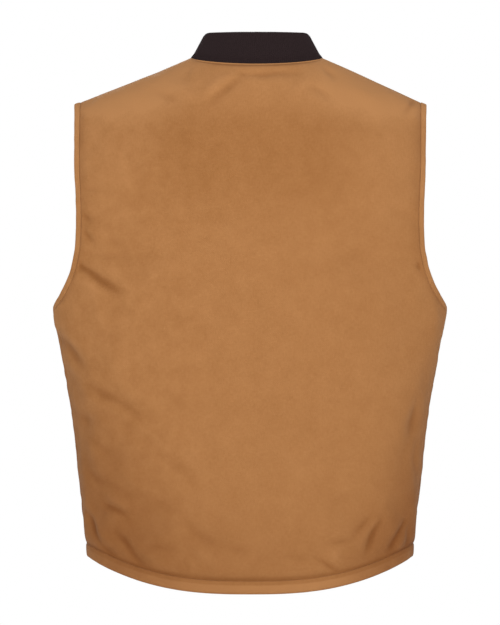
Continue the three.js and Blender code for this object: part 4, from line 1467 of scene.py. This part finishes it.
@dataclass
class NeckRoll:
    """The thin roll of duck that shows along the back of the neck, under the collar."""

    sheet: Sheet
    columns: tuple[int, int]  # the panel's columns between which the roll runs
    seam_wall: float = 4.5
    radius: float = 1.5
    below: float = 1.7  # how far its middle lies below the seam
    sunk: float = 1.0
    swell: float = 0.7  # how much less it is sunk away from its ends
    fading: int = 6  # over how many columns
    sides: int = 10
    painted_highlight: float = 1.8
    # painted highlight along the whole roll
    name: str = "neck_roll"

    def build(self) -> bpy.types.Object:
        """Makes the roll along the neckline and dresses it in duck."""
        first, last = self.columns
        line, normals = self.sheet.points[-1, first:last], self.sheet.normals[-1, first:last]
        out = self.sheet.neck_out
        number = np.arange(len(line))
        swell = self.swell * ease(np.minimum(number, number[::-1]) / self.fading)[:, None]
        middle = line - out * self.below + normals * (self.seam_wall / 2 - self.sunk + swell)
        angles = np.linspace(0.0, 2 * math.pi, self.sides, endpoint=False)
        turned = out[:, None] * np.cos(angles)[:, None] + normals[:, None] * np.sin(angles)[:, None]
        rings = middle[:, None] + self.radius * turned
        piece = tube_object(self.name, rings, run_along(line, 0), angles * self.radius)
        mark(piece, PAINTED_SHADING, np.full(len(piece.data.vertices), self.painted_highlight))
        dress(piece, "duck", DuckCanvas())
        return piece


class NodeTools:
    """The Geometry Nodes trees that repeat an item along lines and raise a knit's ribs."""

    @staticmethod
    def new_tree(name: str, sockets: dict[str, str]) -> tuple[bpy.types.NodeTree, Any]:
        """Starts a tree with named inputs.

        Args:
            name: the tree's name.
            sockets: the kind of each input, by its name.

        Returns:
            The tree and the sockets of its inputs.
        """
        tree = bpy.data.node_groups.new(name, "GeometryNodeTree")
        face = tree.interface
        face.new_socket("Geometry", in_out="OUTPUT", socket_type="NodeSocketGeometry")
        for label, kind in {"Geometry": "Geometry", **sockets, "Material": "Material"}.items():
            face.new_socket(label, in_out="INPUT", socket_type="NodeSocket" + kind)
        return tree, tree.nodes.new("NodeGroupInput").outputs

    @staticmethod
    def finish_tree(tree: bpy.types.NodeTree, geometry: Any, material: Any) -> None:
        """Ends a tree in Realize Instances and Set Material."""
        real = add_node(tree, "GeometryNodeRealizeInstances", [geometry])
        coloured = add_node(tree, "GeometryNodeSetMaterial", {"Geometry": real, "Material": material})
        add_node(tree, "NodeGroupOutput", [coloured])

    @classmethod
    def along_lines(cls) -> bpy.types.NodeTree:
        """Returns the tree that sets an item along lines, every other one turned about if asked."""
        found = bpy.data.node_groups.get("items_along_lines")
        if found:
            return found
        inputs = {"Item": "Object", "Pitch": "Float", "Alternate": "Float"}
        tree, given = cls.new_tree("items_along_lines", inputs)
        curve = add_node(tree, "GeometryNodeMeshToCurve", {"Mesh": given["Geometry"]})
        spacing = {"Curve": curve, "Length": given["Pitch"]}
        spaced = add_node(tree, "GeometryNodeResampleCurve", spacing, mode="LENGTH")
        outward = add_node(
            tree, "GeometryNodeInputNamedAttribute", {"Name": "outward"}, data_type="FLOAT_VECTOR"
        )
        axes = (outward, add_node(tree, "GeometryNodeInputTangent"))
        turned = add_node(tree, "FunctionNodeAxesToRotation", axes, primary_axis="Z", secondary_axis="X")
        odd = (add_node(tree, "GeometryNodeInputIndex"), 2.0)
        about = add_node(tree, "ShaderNodeMath", odd, operation="MODULO")
        for factor in (math.pi, given["Alternate"]):
            about = add_node(tree, "ShaderNodeMath", (about, factor), operation="MULTIPLY")
        spin = add_node(tree, "ShaderNodeCombineXYZ", {"Z": about})
        local = add_node(tree, "FunctionNodeEulerToRotation", [spin])
        both = add_node(tree, "FunctionNodeRotateRotation", (turned, local), rotation_space="LOCAL")
        item = add_node(tree, "GeometryNodeObjectInfo", {"Object": given["Item"]})
        placing = {"Points": spaced, "Instance": item.outputs["Geometry"], "Rotation": both}
        items = add_node(tree, "GeometryNodeInstanceOnPoints", placing)
        cls.finish_tree(tree, items, given["Material"])
        return tree

    @classmethod
    def knit_ribs(cls) -> bpy.types.NodeTree:
        """Returns the tree that presses the valleys between a knit's ribs into its surface."""
        tree, given = cls.new_tree("knit_ribs", {"Rib Pitch": "Float", "Rib Depth": "Float"})
        valley, lift = (
            add_node(tree, "GeometryNodeInputNamedAttribute", {"Name": name}, data_type="FLOAT")
            for name in ("round", "lift")
        )
        for operation, *values in (
            ("DIVIDE", given["Rib Pitch"]),
            ("MULTIPLY", math.pi),
            ("SINE",),
            ("ABSOLUTE",),
            ("POWER", 0.7),
            ("SUBTRACT", 1.0),
            ("MULTIPLY", given["Rib Depth"]),
            ("MULTIPLY", lift),
        ):
            valley = add_node(tree, "ShaderNodeMath", (valley, *values), operation=operation)
        push = {"Vector": add_node(tree, "GeometryNodeInputNormal"), "Scale": valley}
        offset = add_node(tree, "ShaderNodeVectorMath", push, operation="SCALE")
        pressing = {"Geometry": given["Geometry"], "Offset": offset}
        pressed = add_node(tree, "GeometryNodeSetPosition", pressing)
        cls.finish_tree(tree, pressed, given["Material"])
        return tree

    @staticmethod
    def applied(source: bpy.types.Object, tree: Any, inputs: dict[str, Any]) -> bpy.types.Object:
        """Runs a tree on an object and keeps the result as a plain mesh of its own.

        Args:
            source: the object that the tree works on, which is removed afterwards.
            tree: the tree to run.
            inputs: the tree's values by input name.

        Returns:
            The new object, with the source's name.
        """
        modifier = source.modifiers.new(tree.name, "NODES")
        modifier.node_group = tree
        for socket in tree.interface.items_tree:
            if socket.in_out == "INPUT" and socket.name in inputs:
                modifier[socket.identifier] = inputs[socket.name]
        graph = bpy.context.evaluated_depsgraph_get()
        graph.update()
        mesh = bpy.data.meshes.new_from_object(source.evaluated_get(graph), depsgraph=graph)
        source.modifiers.remove(modifier)
        name = source.name
        bpy.data.objects.remove(source)
        mesh.name = name
        return placed(name, mesh)


def path_object(name: str, lines: Sequence[tuple[Array, Array]]) -> bpy.types.Object:
    """Makes a mesh of plain edges along lines, with the outward direction kept at each point.

    Args:
        name: the object's name.
        lines: each line's points in millimetres and the outward directions there.

    Returns:
        The object.
    """
    mesh = bpy.data.meshes.new(name)
    edges, first = [], 0
    for points, _ in lines:
        edges += [(first + i, first + i + 1) for i in range(len(points) - 1)]
        first += len(points)
    places = np.concatenate([points for points, _ in lines]) * MM
    mesh.from_pydata(places.tolist(), edges, [])
    attribute = mesh.attributes.new("outward", "FLOAT_VECTOR", "POINT")
    outward = np.concatenate([facing for _, facing in lines]).astype(np.float32)
    attribute.data.foreach_set("vector", outward.ravel())
    return placed(name, mesh)


@dataclass
class StitchRows:
    """Rows of lock stitching: one short thread on the cloth for each stitch."""

    name: str
    lines: list[tuple[Array, Array]]
    pitch: float = 3.2
    stitch_length: float = 2.6
    thread: float = 0.55

    def stitch(self) -> bpy.types.Object:
        """Makes one stitch, a thread that bends into the cloth at both ends."""
        work = bmesh.new()
        bmesh.ops.create_uvsphere(work, u_segments=6, v_segments=6, radius=0.5)
        bmesh.ops.rotate(work, verts=work.verts, matrix=Matrix.Rotation(math.pi / 2, 3, "Y"))
        size = Vector((self.stitch_length, self.thread, self.thread)) * MM
        bmesh.ops.scale(work, verts=work.verts, vec=size)
        mesh = mesh_of(work, self.name + "_item")
        mesh.polygons.foreach_set("use_smooth", np.ones(len(mesh.polygons), bool))
        return bpy.data.objects.new(mesh.name, mesh)

    def build(self) -> bpy.types.Object:
        """Sets the stitches along their lines as one piece."""
        item = self.stitch()
        inputs = {
            "Item": item,
            "Pitch": self.pitch * MM,
            "Alternate": 0.0,
            "Material": SewingThread().material(),
        }
        piece = NodeTools.applied(path_object(self.name, self.lines), NodeTools.along_lines(), inputs)
        bpy.data.objects.remove(item)
        log.info("%s: %d faces", self.name, len(piece.data.polygons))
        return dress(piece, "duck")


@dataclass
class RibCollar:
    """The stand collar of rib knit, doubled over along its top edge."""

    fronts: tuple[Sheet, Sheet]  # the wearer's right and left
    backs: tuple[Sheet, Sheet]
    form: VestForm
    steps: GridSteps
    wall: float = 5.0
    seam_wall: float = 4.5
    front_gap: float = 2.0
    rows: int = 15
    bend: float = 0.25  # over what share of its height it turns up out of the panels
    rib_pitch: float = 2.8
    rib_depth: float = 0.55
    rib_start: float = 0.12  # the share of the height at which the ribs reach their full depth
    plain_end: float = 2.0  # how far from the front ends they do
    samples: int = 7  # rings to each rib
    name: str = "rib_collar_knit"
    node: str = "rib_collar"

    def stations(self) -> dict[str, Array]:
        """Returns the neck edge from the right front end round the back to the left front end."""
        neck = self.steps.neck
        share = np.arange(neck + 1) / neck
        parts = (
            (self.fronts[0], False, 0, -1),
            (self.backs[0], True, 1, 0),
            (self.backs[1], False, 1, 0),
            (self.fronts[1], True, 1, 1),
        )
        found: dict[str, list[Array]] = {"p": [], "out": [], "normal": [], "place": [], "end": []}
        for sheet, backwards, first, end_hand in parts:
            values = {
                "p": sheet.points[-1, : neck + 1],
                "out": sheet.neck_out,
                "normal": sheet.normals[-1, : neck + 1],
                "place": share if sheet.side is Side.BACK else 2.0 - share,
                "end": np.where(share == 0, end_hand, 0),
            }
            for key, value in values.items():
                found[key].append((value[::-1] if backwards else value)[first:])
        return {key: np.concatenate(value) for key, value in found.items()}

    def rings(self) -> tuple[Array, Array]:
        """Returns the collar's sections round the neck, and each section point's share of the height."""
        at = self.stations()
        point = at["p"].copy()
        height = along_table(COLLAR_STATIONS, "place", "height", at["place"])[:, None]
        lean = np.radians(along_table(COLLAR_STATIONS, "place", "lean", at["place"]))[:, None]
        inward = np.array([-self.form.neck_shift, 0.0, 0.0]) - point
        inward[:, 2] = 0.0
        inward = unit(inward)
        point[:, 0] -= at["end"] * (self.form.zip_width / 2 + self.form.seam_gap - self.front_gap / 2)
        inward[at["end"] != 0] = (0.0, 1.0, 0.0)
        rise = np.array(UP) * np.cos(lean) + inward * np.sin(lean)
        outward = np.array(UP) * np.sin(lean) - inward * np.cos(lean)
        half = self.wall / 2
        shares = 1.0 - (1.0 - np.linspace(0.0, 1.0, self.rows)) ** 1.1
        faces = []
        for face in (1.0, -1.0):
            foot = point + at["out"] * self.form.seam_gap + at["normal"] * face * self.seam_wall / 2
            made = []
            for share in shares:
                rising = share * (height - half)
                upright = point + rise * rising + outward * face * half
                made.append(blend(foot + at["out"] * rising, upright, ease(share / self.bend)))
            faces.append(made)
        angles = np.linspace(0.0, math.pi, 9)[1:-1]
        top = [
            point + rise * (height - half + half * math.sin(a)) + outward * half * math.cos(a) for a in angles
        ]
        section = faces[0] + top + faces[1][::-1]
        return np.stack(section, axis=1), np.concatenate([shares, np.ones(len(top)), shares[::-1]])

    def build(self) -> bpy.types.Object:
        """Makes the collar with its ribs and dresses it in rib knit."""
        rings, share = self.rings()
        run = run_along(rings[:, self.rows // 2], 0)
        ribs = round(run[-1] / self.rib_pitch)
        count = ribs * self.samples + 1
        places = np.linspace(0.0, run[-1], count)
        columns = rings.reshape(len(rings), -1).T
        fine = np.stack([np.interp(places, run, column) for column in columns], axis=-1)
        fine = fine.reshape(count, *rings.shape[1:])
        base = tube_object(self.name, fine, places, run_along(fine[count // 2], 0))
        ends = ease(np.minimum(places, places[-1] - places) / self.plain_end)
        mark(base, "round", np.repeat(places, len(share)) * MM)
        mark(base, "lift", (ends[:, None] * ease(share / self.rib_start)[None, :]).ravel())
        inputs = {
            "Rib Pitch": run[-1] / ribs * MM,
            "Rib Depth": self.rib_depth * MM,
            "Material": RibKnit().material(),
        }
        piece = dress(NodeTools.applied(base, NodeTools.knit_ribs(), inputs), "rib_knit")
        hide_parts(self.node)
        log.info("%s: %d faces", self.name, len(piece.data.polygons))
        return piece


@dataclass
class FrontZip:
    """The closed zip: its tape, two rows of teeth, and the slider with its pull at the top."""

    fronts: tuple[Sheet, Sheet]
    form: VestForm
    tape_wall: float = 1.6
    teeth_pitch: float = 2.4
    tooth: tuple[float, float, float] = (1.5, 3.0, 3.2)  # along the zip, across it, and out of it
    tooth_inset: float = 0.95
    slider_width: float = 8.5
    slider_length: float = 12.0
    slider_wall: float = 6.0
    slider_below_top: float = 6.0
    plate_wall: float = 1.4
    edge_round: float = 0.35
    pull_width: float = 5.5
    pull_length: float = 30.0
    pull_wall: float = 1.6
    node: str = "front_zip"

    def line(self) -> Array:
        """Returns the zip's middle line, from the bottom of the hem up to the collar."""
        right, left = self.fronts
        edge = (right.points[:, 0] + left.points[:, 0]) / 2
        foot = edge[:1] + left.hem_out[0] * self.form.hem_height
        line = np.concatenate([foot, edge])
        line[-1, 2] -= self.form.seam_gap
        return line

    def tape(self, line: Array) -> bpy.types.Object:
        """Makes the two halves of the tape, each thicker along the teeth."""
        half, wall = self.form.zip_width / 2, self.tape_wall / 2
        shaped = [(-half, -0.6), (-half * 0.4, -0.7), (-0.2, -1.0), (0.2, -1.0), (half * 0.4, -0.7)]
        outline = np.array(shaped + [(half, -0.6), (half, 0.6), (0.0, 1.0), (-half, 0.6)])
        rings = np.stack([line + (x, y * wall, 0.0) for x, y in outline], axis=1)
        run = run_along(line, 0)
        cloth = np.stack([np.tile(outline[:, 0], len(line)), np.repeat(run, len(outline))], axis=-1)
        faces = tube_faces(len(line), len(outline), False)
        piece = mesh_object("zip_tape", rings.reshape(-1, 3), faces, cloth)
        dress(piece, "zip", ZipTape())
        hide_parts(self.node)
        return piece

    def tooth_item(self) -> bpy.types.Object:
        """Makes one tooth, a rounded bar that reaches across the zip's middle from one side."""
        work = bmesh.new()
        bmesh.ops.create_cube(work, size=1.0)
        bmesh.ops.scale(work, verts=work.verts, vec=Vector(self.tooth) * MM)
        edges, offset = list(work.edges), self.edge_round * MM
        bmesh.ops.bevel(work, geom=edges, offset=offset, segments=1, affect="EDGES", profile=0.5)
        bmesh.ops.translate(work, verts=work.verts, vec=(0.0, self.tooth_inset * MM, 0.0))
        return bpy.data.objects.new("tooth_item", mesh_of(work, "tooth_item"))

    def teeth(self, line: Array) -> bpy.types.Object:
        """Sets the teeth along the zip, turned about one after another."""
        item = self.tooth_item()
        outward = np.tile((0.0, -1.0, 0.0), (len(line), 1))
        inputs = {
            "Item": item,
            "Pitch": self.teeth_pitch / 2 * MM,
            "Alternate": 1.0,
            "Material": AgedBrass().material(),
        }
        path = path_object("zip_teeth", [(line[2:-2], outward[2:-2])])
        piece = NodeTools.applied(path, NodeTools.along_lines(), inputs)
        bpy.data.objects.remove(item)
        return dress(piece, "zip")

    def slider(self, line: Array) -> bpy.types.Object:
        """Makes the slider's two plates and bridge, and the pull that hangs from it."""
        top, below = line[-1], line[-12]
        down = unit(below - top)
        out = unit(np.cross(down, ACROSS))
        out = -out if out[1] > 0 else out
        work = bmesh.new()

        def plate(outline: Sequence[tuple[float, float]], low: float, high: float) -> None:
            """Adds a flat plate from an outline across and down the zip, between two depths."""
            rings = []
            for depth in (low, high):
                ring = [top + down * d + out * depth + np.array(ACROSS) * x for x, d in outline]
                rings.append([work.verts.new(Vector(p * MM)) for p in ring])
            work.faces.new(rings[0][::-1])
            work.faces.new(rings[1])
            for i in range(len(outline)):
                j = (i + 1) % len(outline)
                work.faces.new((rings[0][i], rings[0][j], rings[1][j], rings[1][i]))

        half, start = self.slider_width / 2, self.slider_below_top
        end = start + self.slider_length
        shield = [
            (-half, start + 1.0),
            (-half * 0.7, start),
            (half * 0.7, start),
            (half, start + 1.0),
            (half, start + self.slider_length * 0.45),
            (half * 0.66, end - 0.8),
            (half * 0.45, end),
            (-half * 0.45, end),
            (-half * 0.66, end - 0.8),
            (-half, start + self.slider_length * 0.45),
        ]
        face = self.slider_wall / 2
        plate(shield, face - self.plate_wall, face)
        plate(shield, -face, -face + self.plate_wall)
        bridge = [(-1.0, start + 2.0), (1.0, start + 2.0), (1.0, end - 2.0), (-1.0, end - 2.0)]
        plate(bridge, face - 0.2, face + 1.6)
        web = [(-1.2, start), (1.2, start), (1.2, start + 3.0), (-1.2, start + 3.0)]
        plate(web, -face + 1.2, face - 1.2)
        wide, pull_top = self.pull_width / 2, start + self.slider_length / 2
        pull_end = pull_top + self.pull_length
        turns = np.linspace(0.0, math.pi, 9)
        rounded = [(wide * math.cos(t), pull_end - wide + wide * math.sin(t)) for t in turns]
        narrow = [(-wide * 0.62, pull_top), (wide * 0.62, pull_top), (wide * 0.62, pull_top + 6.0)]
        plate(narrow + rounded + [(-wide * 0.62, pull_top + 6.0)], face + 0.5, face + 0.5 + self.pull_wall)
        bmesh.ops.recalc_face_normals(work, faces=work.faces)
        piece = placed("zip_slider", mesh_of(work, "zip_slider"))
        soften = piece.modifiers.new("soften", "BEVEL")
        soften.width, soften.segments, soften.limit_method = self.edge_round * MM, 2, "ANGLE"
        dress(piece, "zip", AgedBrass())
        return piece

    def build(self) -> None:
        """Makes all the zip's pieces."""
        line = self.line()
        for piece in (self.tape(line), self.teeth(line), self.slider(line)):
            log.info("%s: %d faces", piece.name, len(piece.data.polygons))


@dataclass
class InsulatedVest:
    """The whole vest, from its cut sheets to its stitching."""

    form: VestForm = VestForm()
    steps: GridSteps = GridSteps()
    hem_wall: float = 6.0
    armhole_wall: float = 5.5
    armhole_lap: float = 1.0
    # painted highlight on the armhole bands
    armhole_rubbed: float = 0.25
    seam_wall: float = 4.5
    side_stitch: float = 24.0
    zip_stitch: float = 7.0
    shoulder_stitch: float = 6.0

    def panels(self, back: Sheet, fronts: dict[Hand, Sheet]) -> dict[str, PaddedPanel]:
        """Makes the back and the two fronts."""
        given = {"form": self.form, "steps": self.steps}
        rows = {"side_stitch": self.side_stitch, "shoulder_stitch": self.shoulder_stitch}
        made = {"back": PaddedPanel("back_panel", back, BACK_FOLDS, seed=11, **given, **rows)}
        for number, (hand, sheet) in enumerate(fronts.items()):
            name = hand.name.lower()
            made[name] = PaddedPanel(
                f"front_panel_{name}",
                sheet,
                FRONT_FOLDS,
                seed=23 + 12 * number,
                middle_stitch=self.zip_stitch,
                **given,
            )
        for panel in made.values():
            panel.build()
        return made

    def hem_line(self, sheet: Sheet) -> Array:
        """Returns a hem's line, drawn nearly together with its neighbour's at the side seam."""
        line = sheet.points[0].copy()
        at_seam = np.abs(line[:, 1]) < self.form.seam_gap
        line[at_seam, 1] /= 8
        return line

    def hems(self, back: Sheet, fronts: dict[Hand, Sheet]) -> list[TurnedEdge]:
        """Makes the turned hem of the back and of each front."""
        lines = {"back_hem": back, **{f"front_hem_{h.name.lower()}": s for h, s in fronts.items()}}
        made = []
        for number, (node, sheet) in enumerate(lines.items()):
            band = TurnedEdge(
                node,
                self.hem_line(sheet),
                sheet.hem_out,
                sheet.normals[0],
                self.form.hem_height,
                self.hem_wall,
                loop=False,
                seed=41 + number,
                lap=self.form.hem_lap,
            )
            band.build()
            made.append(band)
        return made

    def armholes(self, halves: dict[tuple[Side, Hand], Sheet]) -> list[TurnedEdge]:
        """Makes the turned edge all round each armhole."""
        under = self.steps.below_underarm
        made = []
        for number, hand in enumerate(Hand):
            back, front = halves[Side.BACK, hand], halves[Side.FRONT, hand]
            parts = {
                "points": [s.points[under:, -1] for s in (back, front)],
                "out": [s.armhole_out for s in (back, front)],
                "normals": [s.normals[under:, -1] for s in (back, front)],
            }
            loop = {}
            for key, (first, second) in parts.items():
                shared = (first[[0, -1]] + second[[0, -1]]) / 2
                shared[:, 1] = 0.0
                shared = shared if key == "points" else unit(shared)
                loop[key] = np.concatenate([shared[:1], first[1:-1], shared[1:], second[-2:0:-1]])
            band = TurnedEdge(
                f"armhole_edge_{hand.name.lower()}",
                **loop,
                height=self.form.armhole_band,
                thickness=self.armhole_wall,
                loop=True,
                seed=61 + number,
                painted_highlight=self.armhole_rubbed,
                lap=self.armhole_lap,
            )
            band.build()
            made.append(band)
        return made

    def stitching(
        self, panels: dict[str, PaddedPanel], hems: list[TurnedEdge], armholes: list[TurnedEdge]
    ) -> None:
        """Sews every row of stitching that shows."""
        on_cloth = self.seam_wall / 2 - 0.1
        StitchRows("hem_stitching", [band.stitch_line(on_cloth) for band in hems]).build()
        rings = []
        for band in armholes:
            points, facing = band.stitch_line(on_cloth)
            rings.append((np.concatenate([points, points[:1]]), np.concatenate([facing, facing[:1]])))
        StitchRows("armhole_stitching", rings).build()
        sides = []
        for hand in (Hand.LEFT, Hand.RIGHT):
            sides.append(panels["back"].line_from_edge("side", self.side_stitch, hand))
            sides.append(panels["back"].line_from_edge("shoulder", self.shoulder_stitch, hand))
        StitchRows("back_seam_stitching", sides).build()
        edges = [panels[name].line_from_edge("middle", self.zip_stitch) for name in ("left", "right")]
        StitchRows("zip_stitching", edges).build()

    def build(self) -> None:
        """Makes every piece of the vest in the order in which one is sewn."""
        cutter = SheetCutter(self.form, self.steps)
        halves = {(side, hand): cutter.half(side, hand) for side in Side for hand in Hand}
        back = cutter.whole(halves[Side.BACK, Hand.RIGHT], halves[Side.BACK, Hand.LEFT])
        fronts = {hand: halves[Side.FRONT, hand] for hand in Hand}
        panels = self.panels(back, fronts)
        hems = self.hems(back, fronts)
        armholes = self.armholes(halves)
        front_pair, back_pair = (
            (halves[side, Hand.RIGHT], halves[side, Hand.LEFT]) for side in (Side.FRONT, Side.BACK)
        )
        RibCollar(front_pair, back_pair, self.form, self.steps).build()
        neck, middle = self.steps.neck, self.steps.columns
        NeckRoll(back, (middle - neck, middle + neck + 1)).build()
        FrontZip(front_pair, self.form).build()
        self.stitching(panels, hems, armholes)


@dataclass(frozen=True)
class SoftLight:
    """A round softbox that stands a little over two metres from the vest."""

    name: str
    place: tuple[float, float, float]
    size: float
    power: float

    def build(self, aim: Vector) -> None:
        """Hangs the light in its place, turned to the object."""
        data = bpy.data.lights.new(self.name, "AREA")
        data.shape, data.size, data.energy = "DISK", self.size, self.power
        lamp = placed(self.name, data)
        lamp.location = self.place
        lamp.rotation_euler = (aim - lamp.location).to_track_quat("-Z", "Y").to_euler()


@dataclass(frozen=True)
class Studio:
    """The camera, floor and light, in metres."""

    picture_height: float = 625 * 1.345 * MM  # 625 pixels of 1.345 mm at the vest
    picture_middle: float = (60 - 312.5) * 1.345 * MM  # the neck points lie 60 pixels down
    camera_distance: float = 16.0
    sensor: float = 36.0
    floor_height: float = -1.7
    floor_radius: float = 8.4
    lights: tuple[SoftLight, ...] = (
        SoftLight("back_key_light", (-0.1, 2.0, 0.1), 1.0, 19.5),
        SoftLight("front_key_light", (0.35, -2.0, 0.35), 1.0, 24.0),
        SoftLight("top_light", (0.0, 0.3, 1.4), 0.8, 4.0),
        SoftLight("left_fill_light", (2.0, 0.85, 0.3), 1.0, 5.0),
        SoftLight("right_fill_light", (-2.0, 0.85, 0.3), 1.0, 4.5),
    )
    horizon: float = 1.0  # the world's brightness level with the vest
    overhead: float = 0.38  # and its brightness above
    dimming: tuple[float, float] = (0.085, 0.2)  # between which heights on the sky it falls

    def camera(self) -> None:
        """Places the camera straight behind the vest, as far off as makes the view nearly parallel."""
        data = bpy.data.cameras.new("camera")
        data.sensor_width = self.sensor
        data.lens = self.sensor * self.camera_distance / self.picture_height
        data.clip_end = 100.0
        camera = placed("camera", data)
        camera.location = (0.0, self.camera_distance, self.picture_middle)
        camera.rotation_euler = (math.pi / 2, 0.0, math.pi)
        bpy.context.scene.camera = camera

    def floor(self) -> None:
        """Lays the plain round floor under the vest, as far below as a wearer stands."""
        work = bmesh.new()
        bmesh.ops.create_circle(work, cap_ends=True, segments=96, radius=self.floor_radius)
        bmesh.ops.translate(work, verts=work.verts, vec=(0.0, 0.0, self.floor_height))
        floor = placed("floor", mesh_of(work, "floor"))
        floor.data.materials.append(StudioFloor().material())

    def world(self) -> None:
        """Lights the room evenly, white up to the horizon and dimmer above."""
        world = bpy.data.worlds.new("studio")
        bpy.context.scene.world = world
        world.use_nodes = True
        tree = world.node_tree
        where = add_node(tree, "ShaderNodeTexCoord").outputs["Generated"]
        height = add_node(tree, "ShaderNodeSeparateXYZ", [where]).outputs[2]
        step = (height, *self.dimming, self.horizon, self.overhead)
        strength = add_node(tree, "ShaderNodeMapRange", step, interpolation_type="SMOOTHSTEP")
        tree.links.new(strength.outputs[0], tree.nodes["Background"].inputs["Strength"])
        tree.nodes["Background"].inputs["Color"].default_value = (1.0, 1.0, 1.0, 1.0)

    def build(self) -> None:
        """Sets up the whole studio."""
        self.camera()
        self.floor()
        self.world()
        for light in self.lights:
            light.build(Vector((0.0, 0.0, self.picture_middle)))
        bpy.context.scene.view_settings.view_transform = "Standard"


def main() -> None:
    """Builds the studio and the vest."""
    logging.basicConfig(level=logging.INFO, format="%(name)s: %(message)s")
    Studio().build()
    InsulatedVest().build()


if __name__ == "__main__":
    main()
